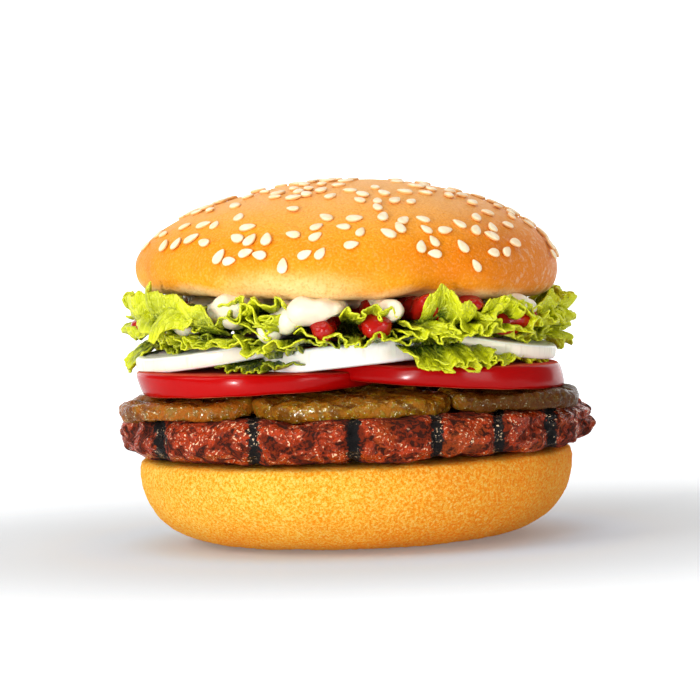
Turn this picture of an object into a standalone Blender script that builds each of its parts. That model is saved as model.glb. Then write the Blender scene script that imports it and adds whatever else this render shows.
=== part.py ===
"""A sesame seed burger as its separate pieces: two bun halves, a grilled patty, pickle, tomato and
onion slices, lettuce leaves, ketchup and mayonnaise. Metres, +Z up, +X to the right, front at -Y.

The pieces are made from the bottom of the stack to the top. Where one lies on another, the upper
one is carved by a slightly grown copy of the lower one, so that a gap stays between them."""

import math
import random

import bmesh
import bpy
from mathutils import Matrix, Vector, noise

MM = 0.001
GAP = 0.3 * MM
CLEAR = 0.4 * MM
MERGE = 0.001 * MM

HEEL_RADIUS = 49.7 * MM
HEEL_HEIGHT = 20.0 * MM
HEEL_FLAT_RADIUS = 28.5 * MM

PATTY_RADIUS = 53.6 * MM
PATTY_THICKNESS = 10.0 * MM
PATTY_BOTTOM = HEEL_HEIGHT + CLEAR
PATTY_TOP = PATTY_BOTTOM + PATTY_THICKNESS

PICKLE_THICKNESS = 3.6 * MM
PICKLE_MIDDLE = PATTY_TOP + GAP + 1.9 * MM
PICKLE_LEAN = math.radians(4)
TOMATO_THICKNESS = 6.0 * MM
TOMATO_BOTTOM = PATTY_TOP + 3.9 * MM

CROWN_RADIUS = 48.7 * MM
CROWN_OFFSET_X = -0.8 * MM
CROWN_CUT_HEIGHT = 55.7 * MM
CROWN_WIDEST_HEIGHT = 61.8 * MM
CROWN_TOP_HEIGHT = 82.3 * MM
CROWN_ROUNDNESS = 1.87
CROWN_TILT = math.radians(2.5)
CROWN_LEAN = 4.2 * MM

MAYO_THICKNESS = 1.3 * MM
KETCHUP_THICKNESS = 1.1 * MM
SAUCE_RADIUS = 36.0 * MM

LEAF_THICKNESS = 0.8 * MM

SEED_COUNT = 96
SEED_LENGTH = 3.7 * MM
SEED_WIDTH = 2.3 * MM
SEED_THICKNESS = 1.2 * MM
SEED_STAND = 0.3 * MM
SEED_SPACING = 4.1 * MM
SEED_DRAW = 11

COLOURS = {
    "bun": ((0.86, 0.52, 0.16), 0.55),
    "patty": ((0.16, 0.045, 0.02), 0.45),
    "pickle": ((0.30, 0.24, 0.03), 0.30),
    "tomato": ((0.72, 0.03, 0.015), 0.22),
    "onion": ((0.88, 0.86, 0.78), 0.30),
    "lettuce": ((0.42, 0.58, 0.02), 0.38),
    "ketchup": ((0.45, 0.012, 0.006), 0.15),
    "mayonnaise": ((0.88, 0.84, 0.72), 0.25),
}


def clear_scene():
    for old in list(bpy.data.objects):
        bpy.data.objects.remove(old, do_unlink=True)


def material(name):
    """The shared food material of that name, made once."""
    if name in bpy.data.materials:
        return bpy.data.materials[name]
    colour, roughness = COLOURS[name]
    made = bpy.data.materials.new(name)
    made.use_nodes = True
    shader = made.node_tree.nodes["Principled BSDF"]
    shader.inputs["Base Color"].default_value = (*colour, 1.0)
    shader.inputs["Roughness"].default_value = roughness
    shader.inputs["Metallic"].default_value = 0.0
    return made


def new_piece(name, bm, food):
    """An object named for its node, holding the bmesh, smooth shaded up to sharp edges."""
    mesh = bpy.data.meshes.new(name)
    bmesh.ops.triangulate(bm, faces=bm.faces)
    bm.to_mesh(mesh)
    bm.free()
    mesh.materials.append(material(food))
    mesh.shade_smooth()
    mesh.set_sharp_from_angle(angle=math.radians(40))
    piece = bpy.data.objects.new(name, mesh)
    bpy.context.scene.collection.objects.link(piece)
    return piece


def polar(angle, radius, height, sideways=0.0):
    """The point at an angle from the front (-Y) that grows towards the right (+X)."""
    return Vector((radius * math.sin(angle) + sideways, -radius * math.cos(angle), height))


def turned(name, profile, segments, shape, food, place=None):
    """A closed skin: profile runs from the top pole to the bottom pole, is spun about Z, and
    shape(angle, radius, height) then gives each point's own place."""
    bm = bmesh.new()
    points = [bm.verts.new((radius, 0, height)) for radius, height in profile]
    line = [bm.edges.new(pair) for pair in zip(points, points[1:])]
    bmesh.ops.spin(
        bm,
        geom=points + line,
        cent=(0, 0, 0),
        axis=(0, 0, 1),
        angle=math.tau,
        steps=segments,
        use_merge=True,
    )
    bmesh.ops.remove_doubles(bm, verts=bm.verts, dist=MERGE)
    bmesh.ops.recalc_face_normals(bm, faces=bm.faces)
    for vert in bm.verts:
        radius = math.hypot(vert.co.x, vert.co.y)
        angle = math.atan2(vert.co.x, -vert.co.y)
        vert.co = shape(angle, radius, vert.co.z)
    if place is not None:
        bmesh.ops.transform(bm, matrix=place, verts=bm.verts)
    return new_piece(name, bm, food)


def placed(x, y, z, lean_x=0.0, lean_y=0.0, turn=0.0):
    """A place in millimetres and degrees: lean_x drops the back, lean_y drops the right side."""
    matrix = Matrix.Translation(Vector((x, y, z)) * MM)
    matrix @= Matrix.Rotation(math.radians(-lean_x), 4, "X")
    matrix @= Matrix.Rotation(math.radians(lean_y), 4, "Y")
    return matrix @ Matrix.Rotation(math.radians(turn), 4, "Z")


def wobble(angle, phase):
    """A slow uneven wave round the circle, between about -1 and 1."""
    return (
        0.5 * math.cos(2 * angle + phase)
        + 0.3 * math.cos(3 * angle + 1.7 * phase)
        + 0.2 * math.cos(5 * angle + 2.3 * phase)
    )


def bump(angle, at_degrees, width_degrees):
    """A smooth hill of height 1 round the circle, at an angle measured from the front."""
    off = (math.degrees(angle) - at_degrees + 180) % 360 - 180
    return math.exp(-((off / width_degrees) ** 2))


def grown(piece, by):
    """A hidden copy of the piece whose skin stands out by that much: a cutter with clearance."""
    cutter = piece.copy()
    cutter.data = piece.data.copy()
    bpy.context.scene.collection.objects.link(cutter)
    normals = [vert.normal.copy() for vert in cutter.data.vertices]
    for vert, normal in zip(cutter.data.vertices, normals):
        vert.co += normal * by
    cutter.hide_render = True
    cutter.display_type = "WIRE"
    return cutter


def apply_modifiers(piece):
    """Turns the piece's modifiers into plain mesh."""
    graph = bpy.context.evaluated_depsgraph_get()
    mesh = bpy.data.meshes.new_from_object(piece.evaluated_get(graph))
    piece.modifiers.clear()
    old = piece.data
    piece.data = mesh
    bpy.data.meshes.remove(old)


def keep_largest(piece):
    """Drops the loose scraps that carving leaves, and leaves triangles alone."""
    bm = bmesh.new()
    bm.from_mesh(piece.data)
    bmesh.ops.triangulate(bm, faces=bm.faces)
    left = set(bm.verts)
    shells = []
    while left:
        shell, todo = set(), [next(iter(left))]
        while todo:
            vert = todo.pop()
            if vert in shell:
                continue
            shell.add(vert)
            todo += [edge.other_vert(vert) for edge in vert.link_edges]
        left -= shell
        shells.append(shell)
    shells.sort(key=len)
    for shell in shells[:-1]:
        bmesh.ops.delete(bm, geom=list(shell), context="VERTS")
    bm.to_mesh(piece.data)
    bm.free()


def boxes_meet(a, b):
    """Whether the two pieces' boxes overlap."""
    corners = []
    for piece in (a, b):
        points = [vert.co for vert in piece.data.vertices]
        low = [min(p[i] for p in points) - 2 * GAP for i in range(3)]
        high = [max(p[i] for p in points) + 2 * GAP for i in range(3)]
        corners.append((low, high))
    (low_a, high_a), (low_b, high_b) = corners
    return all(low_a[i] < high_b[i] and low_b[i] < high_a[i] for i in range(3))


def carve(piece, neighbours, solver="EXACT"):
    """Cuts the piece back from each neighbour that it may touch, with the gap left between."""
    for neighbour in neighbours:
        if not boxes_meet(piece, neighbour):
            continue
        for by in (GAP, 0.4 * GAP):
            cutter = grown(neighbour, by)
            cut = piece.modifiers.new("clearance", "BOOLEAN")
            cut.operation = "DIFFERENCE"
            cut.solver = solver
            cut.object = cutter
            apply_modifiers(piece)
            bpy.data.objects.remove(cutter, do_unlink=True)
            keep_largest(piece)


def heel():
    """The lower bun half: a round-bottomed bowl of bread with a flat cut top."""
    outline = ((28.5, 0.0), (36.5, 1.3), (41.7, 3.3), (46.2, 6.9), (49.0, 12.0))
    profile = [(0, HEEL_HEIGHT), (48.2 * MM, HEEL_HEIGHT)]
    profile += [(49.5 * MM, 18.8 * MM), (HEEL_RADIUS, 17.2 * MM)]
    profile += [(radius * MM, height * MM) for radius, height in reversed(outline)]
    profile += [(0, 0)]

    def shape(angle, radius, height):
        side = max(0.0, radius - HEEL_FLAT_RADIUS) / (HEEL_RADIUS - HEEL_FLAT_RADIUS)
        return polar(angle, radius * (1 + 0.006 * side * wobble(angle, 0.8)), height)

    return turned("bun_heel", profile, 38, shape, "bun")


def patty():
    """The grilled patty: a lumpy disc with a bulging, craggy edge."""
    edge = ((0.0, 0.5), (0.90, 0.5), (0.975, 0.34), (1.0, 0.06))
    under = ((0.985, -0.25), (0.93, -0.46), (0.88, -0.5), (0.0, -0.5))
    profile = [(f * PATTY_RADIUS, h * PATTY_THICKNESS) for f, h in edge + under]
    middle = (PATTY_BOTTOM + PATTY_TOP) / 2

    def shape(angle, radius, height):
        side = (radius / PATTY_RADIUS) ** 6
        at = Vector((math.sin(angle), math.cos(angle), height / PATTY_THICKNESS))
        crag = (1.4 * noise.noise(at * 6.0) + noise.noise(at * 2.2)) * MM
        return polar(angle, radius + side * crag, middle + height)

    return turned("beef_patty", profile, 50, shape, "patty")


def slice_profile(radius, thickness, skin=1.0):
    """A round slice from pole to pole, its side bulging by a share of the thickness."""
    wide = 1.0 + 0.03 * skin
    points = ((0.0, 0.5), (0.975, 0.5), (wide, 0.2), (wide, -0.2), (0.975, -0.5), (0.0, -0.5))
    return [(f * radius, h * thickness) for f, h in points]


def pickles():
    """Thin oval gherkin slices round the patty's top, each leaning out over its edge."""
    # name, x, y, long radius, short radius, turn
    rounds = (
        ("pickle_front_centre", -0.5, -34.5, 22.0, 13.6, 0),
        ("pickle_front_left", -36.4, -21.6, 19.5, 13.2, -47),
        ("pickle_front_right", 34.4, -23.0, 18.0, 13.2, 42),
        ("pickle_back_right", 33.5, 19.5, 17.5, 12.6, -44),
        ("pickle_back_centre", 0.5, 35.0, 19.0, 13.0, 2),
        ("pickle_back_left", -34.5, 19.0, 18.0, 12.6, 40),
    )
    made = []
    for number, (name, x, y, long_r, short_r, turn) in enumerate(rounds):
        profile = slice_profile(long_r * MM, PICKLE_THICKNESS, 0.4)

        def shape(angle, radius, height, number=number, squeeze=short_r / long_r):
            across = math.hypot(math.sin(angle), math.cos(angle) / squeeze)
            return polar(angle, radius / across * (1 + 0.02 * wobble(angle, number)), height)

        outwards = math.atan2(x, -y)
        place = Matrix.Translation((x * MM, y * MM, PICKLE_MIDDLE))
        axis = Vector((math.cos(outwards), math.sin(outwards), 0))
        place @= Matrix.Rotation(PICKLE_LEAN, 4, axis)
        place @= Matrix.Rotation(math.radians(turn), 4, "Z")
        made.append(turned(name, profile, 18, shape, "pickle", place))
    return made


def tomatoes():
    """Three slices, each a wedge that thins towards the one it overlaps."""
    # name, x, y, radius, rise of the bottom, lean back, lean right, skin slant, thinning direction
    rounds = (
        ("tomato_left", -20.0, -14.6, 28.2, 0.0, 0.0, 1.2, -0.03, (1, 0)),
        ("tomato_right", 18.6, -14.4, 28.6, 0.5, 0.0, 2.2, 0.02, (-1, 0)),
        ("tomato_back", 0.0, 24.0, 23.5, 2.6, 5.2, 0.0, -0.05, (0, -1)),
    )
    made = []
    for number, (name, x, y, radius, rise, back, right, slant, thin) in enumerate(rounds):
        half = TOMATO_THICKNESS / 2

        def shape(angle, r, height, number=number, slant=slant, thin=thin, full=radius * MM):
            along = r * (math.sin(angle) * thin[0] - math.cos(angle) * thin[1]) / full
            wedge = 1.0 - 0.22 * (along + 1)
            slanted = r * (1 - slant * (height / half) * (r / full) ** 8)
            slanted *= 1 + 0.012 * wobble(angle, number + 2)
            return polar(angle, slanted, (height - half) * wedge + half)

        place = placed(x, y, 0, back, right)
        place.translation.z = TOMATO_BOTTOM + half + rise * MM
        profile = slice_profile(radius * MM, TOMATO_THICKNESS, 1.0)
        made.append(turned(name, profile, 26, shape, "tomato", place))
    return made


def onions():
    """Whole rounds of white onion. The front one lies lowest and the two side ones lean out."""
    # name, x, y, radius, thickness, height of the middle, lean back, lean right
    rounds = (
        ("onion_centre", -0.4, -24.0, 20.0, 5.2, 42.9, 3.0, -4.5),
        ("onion_left", -26.5, -13.5, 22.5, 3.7, 45.0, -1.5, -8.0),
        ("onion_right", 26.5, -14.0, 20.0, 3.3, 45.5, -1.5, 11.0),
        ("onion_back", 0.5, 28.6, 18.2, 4.0, 44.6, 5.5, 1.0),
    )
    made = []
    for number, (name, x, y, radius, thickness, middle, back, right) in enumerate(rounds):

        def shape(angle, r, height, number=number):
            return polar(angle, r * (1 + 0.012 * wobble(angle, number + 5)), height)

        profile = slice_profile(radius * MM, thickness * MM, 0.2)
        made.append(turned(name, profile, 24, shape, "onion", placed(x, y, middle, back, right)))
    return made


def crown_profile():
    """The upper bun half from its top to the middle of its cut face."""
    rise = CROWN_TOP_HEIGHT - CROWN_WIDEST_HEIGHT
    power = 2 / CROWN_ROUNDNESS
    profile = []
    for degrees in (0, 15, 30, 44, 57, 68, 78, 90):
        turn = math.radians(degrees)
        radius = CROWN_RADIUS * math.sin(turn) ** power
        profile.append((radius, CROWN_WIDEST_HEIGHT + rise * max(0.0, math.cos(turn)) ** power))
    under = ((0.985, 0.45), (0.945, 0.12), (0.88, 0.0), (0.0, 0.0))
    drop = CROWN_WIDEST_HEIGHT - CROWN_CUT_HEIGHT
    profile += [(CROWN_RADIUS * f, CROWN_CUT_HEIGHT + h * drop) for f, h in under]
    return profile


# Where the crown's rim is drawn up: angle from the front, width in degrees, lift.
CROWN_FOLDS = (
    (24, 9, 3.0), (61, 10, 0.9), (118, 13, 1.6), (171, 12, 2.2), (-152, 11, 1.2), (-108, 13, 1.8),
)


def crown_shape(angle, radius, height):
    """Bakes the crown unevenly: a wavy outline, and a rim that lifts where the dough folds."""
    fold = sum(lift * bump(angle, at, width) for at, width, lift in CROWN_FOLDS) * MM
    out = min(1.0, radius / CROWN_RADIUS)
    low = min(1.0, max(0.0, (CROWN_WIDEST_HEIGHT + 6 * MM - height) / (12 * MM)))
    radius *= 1 + 0.010 * out * wobble(angle, 1.9)
    radius -= 0.35 * fold * out**4
    rise = max(0.0, height - CROWN_WIDEST_HEIGHT) / (CROWN_TOP_HEIGHT - CROWN_WIDEST_HEIGHT)
    return polar(angle, radius, height + fold * low * out**5, CROWN_LEAN * rise**1.5)


def crown_place():
    """The crown leans to the right by a little, about the middle of its cut face."""
    pivot = Vector((CROWN_OFFSET_X, 0, CROWN_CUT_HEIGHT))
    tilt = Matrix.Rotation(CROWN_TILT, 4, "Y")
    return Matrix.Translation(pivot) @ tilt @ Matrix.Translation((0, 0, -CROWN_CUT_HEIGHT))


def crown():
    return turned("bun_crown", crown_profile(), 40, crown_shape, "bun", crown_place())


def dome_point(angle, share):
    """A point of the untilted dome and its outward normal, share 0 at the top and 1 where widest."""
    power = 2 / CROWN_ROUNDNESS
    rise = CROWN_TOP_HEIGHT - CROWN_WIDEST_HEIGHT

    def at(angle, share):
        turn = share * math.pi / 2
        radius = CROWN_RADIUS * math.sin(turn) ** power
        height = CROWN_WIDEST_HEIGHT + rise * math.cos(turn) ** power
        return crown_shape(angle, radius, height)

    here, step = at(angle, share), 0.01
    along = at(angle, share + step) - at(angle, share - step)
    around = at(angle + step, share) - at(angle - step, share)
    return here, along.cross(around).normalized()


def seed_places():
    """Where the sesame seeds lie on the untilted dome: (point, normal, turn, size) by seeded draws
    that keep clear of each other and thin out towards the rim."""
    draw = random.Random(SEED_DRAW)
    found = []
    while len(found) < SEED_COUNT:
        angle = draw.uniform(-math.pi, math.pi)
        share = math.sqrt(draw.uniform(0.004, 0.86))
        turn, size = draw.uniform(0, math.pi), draw.uniform(0.86, 1.10)
        if draw.random() < 0.75 * max(0.0, share - 0.62) / 0.3:
            continue
        point, normal = dome_point(angle, share)
        if all((point - other[0]).length > SEED_SPACING for other in found):
            found.append((point, normal, turn, size))
    return found


def seed(point, normal, turn, size):
    """One six-sided teardrop seed, a low peak that stands out of the crust."""
    bm = bmesh.new()
    bmesh.ops.create_cone(bm, cap_ends=True, segments=6, radius1=1.2, radius2=0.0, depth=1.0)
    for vert in bm.verts:
        taper = 1 - 0.30 * vert.co.x
        vert.co.x *= size * SEED_LENGTH / 2
        vert.co.y *= size * SEED_WIDTH / 2 * taper
        vert.co.z *= SEED_THICKNESS
    lie = normal.to_track_quat("Z", "Y").to_matrix().to_4x4() @ Matrix.Rotation(turn, 4, "Z")
    place = crown_place() @ Matrix.Translation(point + normal * SEED_STAND) @ lie
    bmesh.ops.transform(bm, matrix=place, verts=bm.verts)
    return new_piece("seed", bm, "bun")


def strew_seeds(bun):
    """Joins every seed to the crown with one Boolean union."""
    seeds = bpy.data.collections.new("seeds")
    bpy.context.scene.collection.children.link(seeds)
    for place in seed_places():
        grain = seed(*place)
        bpy.context.scene.collection.objects.unlink(grain)
        seeds.objects.link(grain)
    join = bun.modifiers.new("seeds", "BOOLEAN")
    join.operation = "UNION"
    join.solver = "MANIFOLD"
    join.operand_type = "COLLECTION"
    join.collection = seeds
    apply_modifiers(bun)
    for grain in list(seeds.objects):
        bpy.data.objects.remove(grain, do_unlink=True)
    bpy.data.collections.remove(seeds)
    keep_largest(bun)


# Where sauce runs out past the layers: angle from the front, width in degrees, reach, drop, depth.
MAYO_LOBES = (
    (-37, 11, 10.0, 1.2, 2.2), (-10, 8, 12.0, 1.2, 4.2), (11, 5, 12.0, 1.0, 3.6),
    (65, 7, 12.0, 1.4, 2.6), (-80, 6, 12.0, 4.4, 1.2), (130, 8, 11.0, 1.2, 3.0),
    (-132, 9, 11.4, 1.2, 3.2),
)
KETCHUP_LOBES = (
    (6, 6, 12.0, 2.0, 4.4), (-10, 5, 11.4, 4.2, 2.2), (22, 5, 11.4, -2.2, 2.0),
    (38, 6, 11.0, -1.6, 1.6), (66, 8, 13.4, 3.4, 3.2), (-86, 6, 15.0, 5.4, 1.4),
    (132, 8, 12.4, 2.6, 3.2), (-129, 7, 12.4, 2.6, 2.4),
)


def sauce(name, lobes, top, thickness, food):
    """A thin pool under the crown whose lobes run out to the edge and hang there."""
    profile = [(0, 1), (0.74, 1), (0.9, 1), (0.99, 0.6), (0.99, -0.6), (0.9, -1), (0.74, -1), (0, -1)]
    flow = [(radius * SAUCE_RADIUS, side * MM) for radius, side in profile]

    def shape(angle, radius, side):
        share = radius / SAUCE_RADIUS
        reach = sum(r * bump(angle, at, wide) for at, wide, r, _, _ in lobes) * MM
        drop = sum(d * bump(angle, at, wide) for at, wide, _, d, _ in lobes) * MM
        belly = sum(b * bump(angle, at, wide) for at, wide, _, _, b in lobes) * MM
        side /= MM
        outer = max(0.0, share - 0.70) / 0.30
        height = top - thickness * (1 - side) / 2 - drop * outer**1.5
        if side < 0:
            height += belly * side * min(1.0, 1.5 * outer) ** 0.7 * (1.15 - 0.15 * outer)
        return polar(angle, share * (SAUCE_RADIUS * (1 + 0.03 * wobble(angle, 3.3)) + reach), height)

    return turned(name, flow, 40, shape, food, crown_place())


def sauces():
    mayo_top = CROWN_CUT_HEIGHT - CLEAR
    ketchup_top = mayo_top - MAYO_THICKNESS - CLEAR
    return [
        sauce("mayonnaise", MAYO_LOBES, mayo_top, MAYO_THICKNESS, "mayonnaise"),
        sauce("ketchup", KETCHUP_LOBES, ketchup_top, KETCHUP_THICKNESS, "ketchup"),
    ]


# Each leaf: first and last angle from the front, then (radius, height) in millimetres at its base,
# at its bend and at its margin, the number of ruffles, their size, their overhang and their phase.
LEAVES = {
    "lettuce_low_left": (-122, -64, (32, 48.6), (53, 53), (54.5, 38.0), 3.2, 2.5, 1.0, 0.4),
    "lettuce_low_front_left": (-62, -32, (32, 48.8), (48.5, 52), (50.5, 46.0), 2.0, 2.2, 0.9, 2.1),
    "lettuce_fold_front_left": (-31, -15, (34, 48.6), (49.5, 51), (50.5, 43.0), 1.8, 1.8, 0.9, 4.4),
    "lettuce_low_front": (-13, 14, (34, 48.6), (48, 51.5), (49.5, 46.5), 2.2, 1.9, 0.9, 0.9),
    "lettuce_low_front_right": (15, 42, (33, 50.2), (49, 52.5), (51.5, 41), 2.6, 2.5, 1.0, 4.0),
    "lettuce_low_right": (43, 76, (32, 49.8), (48.5, 51), (50.5, 45.5), 2.2, 2.2, 0.9, 1.2),
    "lettuce_low_right_end": (79, 122, (32, 48.6), (51.0, 51.5), (50.0, 42), 2.8, 1.8, 0.9, 2.6),
    "lettuce_low_back_right": (124, 176, (32, 49.0), (49, 52), (51, 43.5), 3.0, 2.4, 1.0, 0.2),
    "lettuce_low_back_left": (178, 236, (32, 49.2), (49, 52), (51.5, 43), 3.2, 2.4, 1.0, 3.1),
    "lettuce_high_left": (-90, -40, (33, 51.8), (51.5, 50.5), (51.2, 57.0), 2.6, 2.0, 1.0, 1.7),
    "lettuce_high_front_left": (-31, -15, (34, 51.4), (49, 50.5), (49.5, 55.0), 1.4, 1.7, 0.8, 5.2),
    "lettuce_high_front": (-4, 8, (36, 51.0), (48.5, 50), (49.5, 55.6), 1.3, 1.5, 0.8, 0.9),
    "lettuce_high_front_right": (14, 58, (33, 50.8), (50, 50), (51, 57.2), 3.0, 2.1, 1.0, 3.6),
    "lettuce_high_right": (70, 124, (32, 50.4), (49.8, 51), (50.0, 59.4), 2.8, 1.8, 0.9, 0.6),
    "lettuce_high_back": (140, 214, (32, 51.6), (49, 51), (51, 56.5), 3.6, 2.2, 1.0, 2.2),
}
RUFFLE_GROWTH = 1.7
CELLS_PER_RUFFLE = 4.6


def leaf_point(leaf, u, v):
    """A point of the leaf's middle sheet, u along its margin and v from its base to its margin."""
    first, last, base, bend, margin, waves, size, overhang, phase = leaf
    ends = math.sin(math.pi * min(max(u, 0.0), 1.0)) ** 0.4
    wave = math.tau * waves * u + phase + 0.7 * math.sin(math.tau * 0.8 * u + 2 * phase)
    reach = v * (0.80 + 0.20 * ends) * (1 + 0.06 * math.sin(0.63 * wave + phase))
    a, b, c = (1 - reach) ** 2, 2 * reach * (1 - reach), reach**2
    radius = a * base[0] + b * bend[0] + c * margin[0]
    height = a * base[1] + b * bend[1] + c * margin[1]
    run = Vector((bend[0] - base[0], bend[1] - base[1])) * (1 - reach)
    run += Vector((margin[0] - bend[0], margin[1] - bend[1])) * reach
    across = Vector((-run.y, run.x)).normalized()
    growth = v**RUFFLE_GROWTH * ends
    ruffle = size * growth * (math.sin(wave) + 0.28 * math.sin(2.6 * wave + 1.3 * phase))
    radius += across.x * ruffle
    height += across.y * ruffle
    angle = math.radians(first + (last - first) * u)
    angle += overhang * growth * math.sin(2 * wave + 0.4) / radius
    height -= math.tan(CROWN_TILT) * radius * math.sin(angle)
    return polar(angle, radius, height) * MM


def lettuce_leaf(name, leaf):
    """A thin wavy leaf: a ruffled sheet with the same triangles on both faces."""
    across = 3
    along = round(leaf[5] * CELLS_PER_RUFFLE)
    bm = bmesh.new()
    bmesh.ops.create_grid(bm, x_segments=along, y_segments=across, size=0.5)
    for vert in bm.verts:
        vert.co = leaf_point(leaf, vert.co.x + 0.5, vert.co.y + 0.5)
    bmesh.ops.recalc_face_normals(bm, faces=bm.faces)
    piece = new_piece(name, bm, "lettuce")
    wall = piece.modifiers.new("thickness", "SOLIDIFY")
    wall.thickness = LEAF_THICKNESS
    wall.offset = 0
    apply_modifiers(piece)
    return piece


def main():
    clear_scene()
    stack = [heel(), patty()]
    for layer in (pickles(), tomatoes(), onions()):
        for piece in layer:
            carve(piece, stack)
            stack.append(piece)
    top = crown()
    mayo, ketchup = sauces()
    carve(mayo, [top] + stack)
    carve(ketchup, [top, mayo] + stack)
    stack += [top, mayo, ketchup]
    for name, leaf in LEAVES.items():
        piece = lettuce_leaf(name, leaf)
        carve(piece, stack, "MANIFOLD")
        stack.append(piece)
    strew_seeds(top)


main()
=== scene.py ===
"""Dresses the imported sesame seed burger: crusts, seared meat, wet slices, curled lettuce and sauce.

Sizes are in metres. An angle round the burger is counted from its front (-Y) and grows towards its
right (+X). Each food is modelled over its own solid and takes that solid's place."""

import math
import random

import bmesh
import bpy
from bpy.props import FloatProperty, FloatVectorProperty, IntProperty, PointerProperty
from bpy.types import Operator, Panel, PropertyGroup
from mathutils import Matrix, Vector, noise


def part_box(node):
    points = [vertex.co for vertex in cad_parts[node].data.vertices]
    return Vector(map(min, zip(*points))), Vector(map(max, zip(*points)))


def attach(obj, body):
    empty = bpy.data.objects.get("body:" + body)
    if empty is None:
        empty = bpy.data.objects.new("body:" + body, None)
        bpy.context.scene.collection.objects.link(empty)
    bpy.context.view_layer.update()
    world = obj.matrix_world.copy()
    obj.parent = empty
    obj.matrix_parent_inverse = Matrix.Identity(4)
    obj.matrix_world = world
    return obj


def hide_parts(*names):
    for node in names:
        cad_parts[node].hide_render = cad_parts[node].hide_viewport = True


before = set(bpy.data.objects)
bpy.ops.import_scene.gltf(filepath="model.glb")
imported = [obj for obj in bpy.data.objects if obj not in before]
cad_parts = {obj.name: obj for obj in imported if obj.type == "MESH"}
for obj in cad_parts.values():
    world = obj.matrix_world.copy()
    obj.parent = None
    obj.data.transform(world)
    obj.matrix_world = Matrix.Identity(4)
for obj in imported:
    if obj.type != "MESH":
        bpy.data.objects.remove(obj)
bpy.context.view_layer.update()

bl_info = {
    "name": "Sesame seed burger",
    "version": (1, 0, 0),
    "blender": (4, 5, 0),
    "location": "3D view > Sidebar > Burger",
    "description": "Models the foods of a sesame seed burger over its solids",
    "category": "Object",
}

MM = 0.001
HEEL_LOW, HEEL_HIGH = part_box("bun_heel")
PATTY_LOW, PATTY_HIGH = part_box("beef_patty")


def length_property(name, description, default):
    return FloatProperty(
        name=name, description=description, default=default, unit="LENGTH", subtype="DISTANCE",
    )


def colour_property(name, description, default):
    return FloatVectorProperty(
        name=name, description=description, default=default, subtype="COLOR", size=3, min=0,
        max=1,
    )


class BurgerSizes(PropertyGroup):
    """The sizes that a user would change."""

    heel_radius: length_property("Lower bun radius", "Half the lower bun's width", 49.7 * MM)
    heel_height: length_property(
        "Lower bun height", "From the plate to the cut face", HEEL_HIGH.z,
    )
    patty_radius: length_property(
        "Patty radius", "Half the patty's width, before its crags", 53.6 * MM,
    )
    crown_radius: length_property("Upper bun radius", "Half the upper bun's width", 48.7 * MM)
    crown_lean: length_property(
        "Upper bun lean", "How far the dome's top stands to the right", 4.2 * MM,
    )
    seed_count: IntProperty(
        name="Seeds", description="Sesame seeds on the upper bun", default=245, min=1,
    )
    seed_length: length_property("Seed length", "Length of a sesame seed", 3.7 * MM)
    leaf_thickness: length_property("Leaf thickness", "Thickness of a lettuce leaf", 0.34 * MM)


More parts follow.
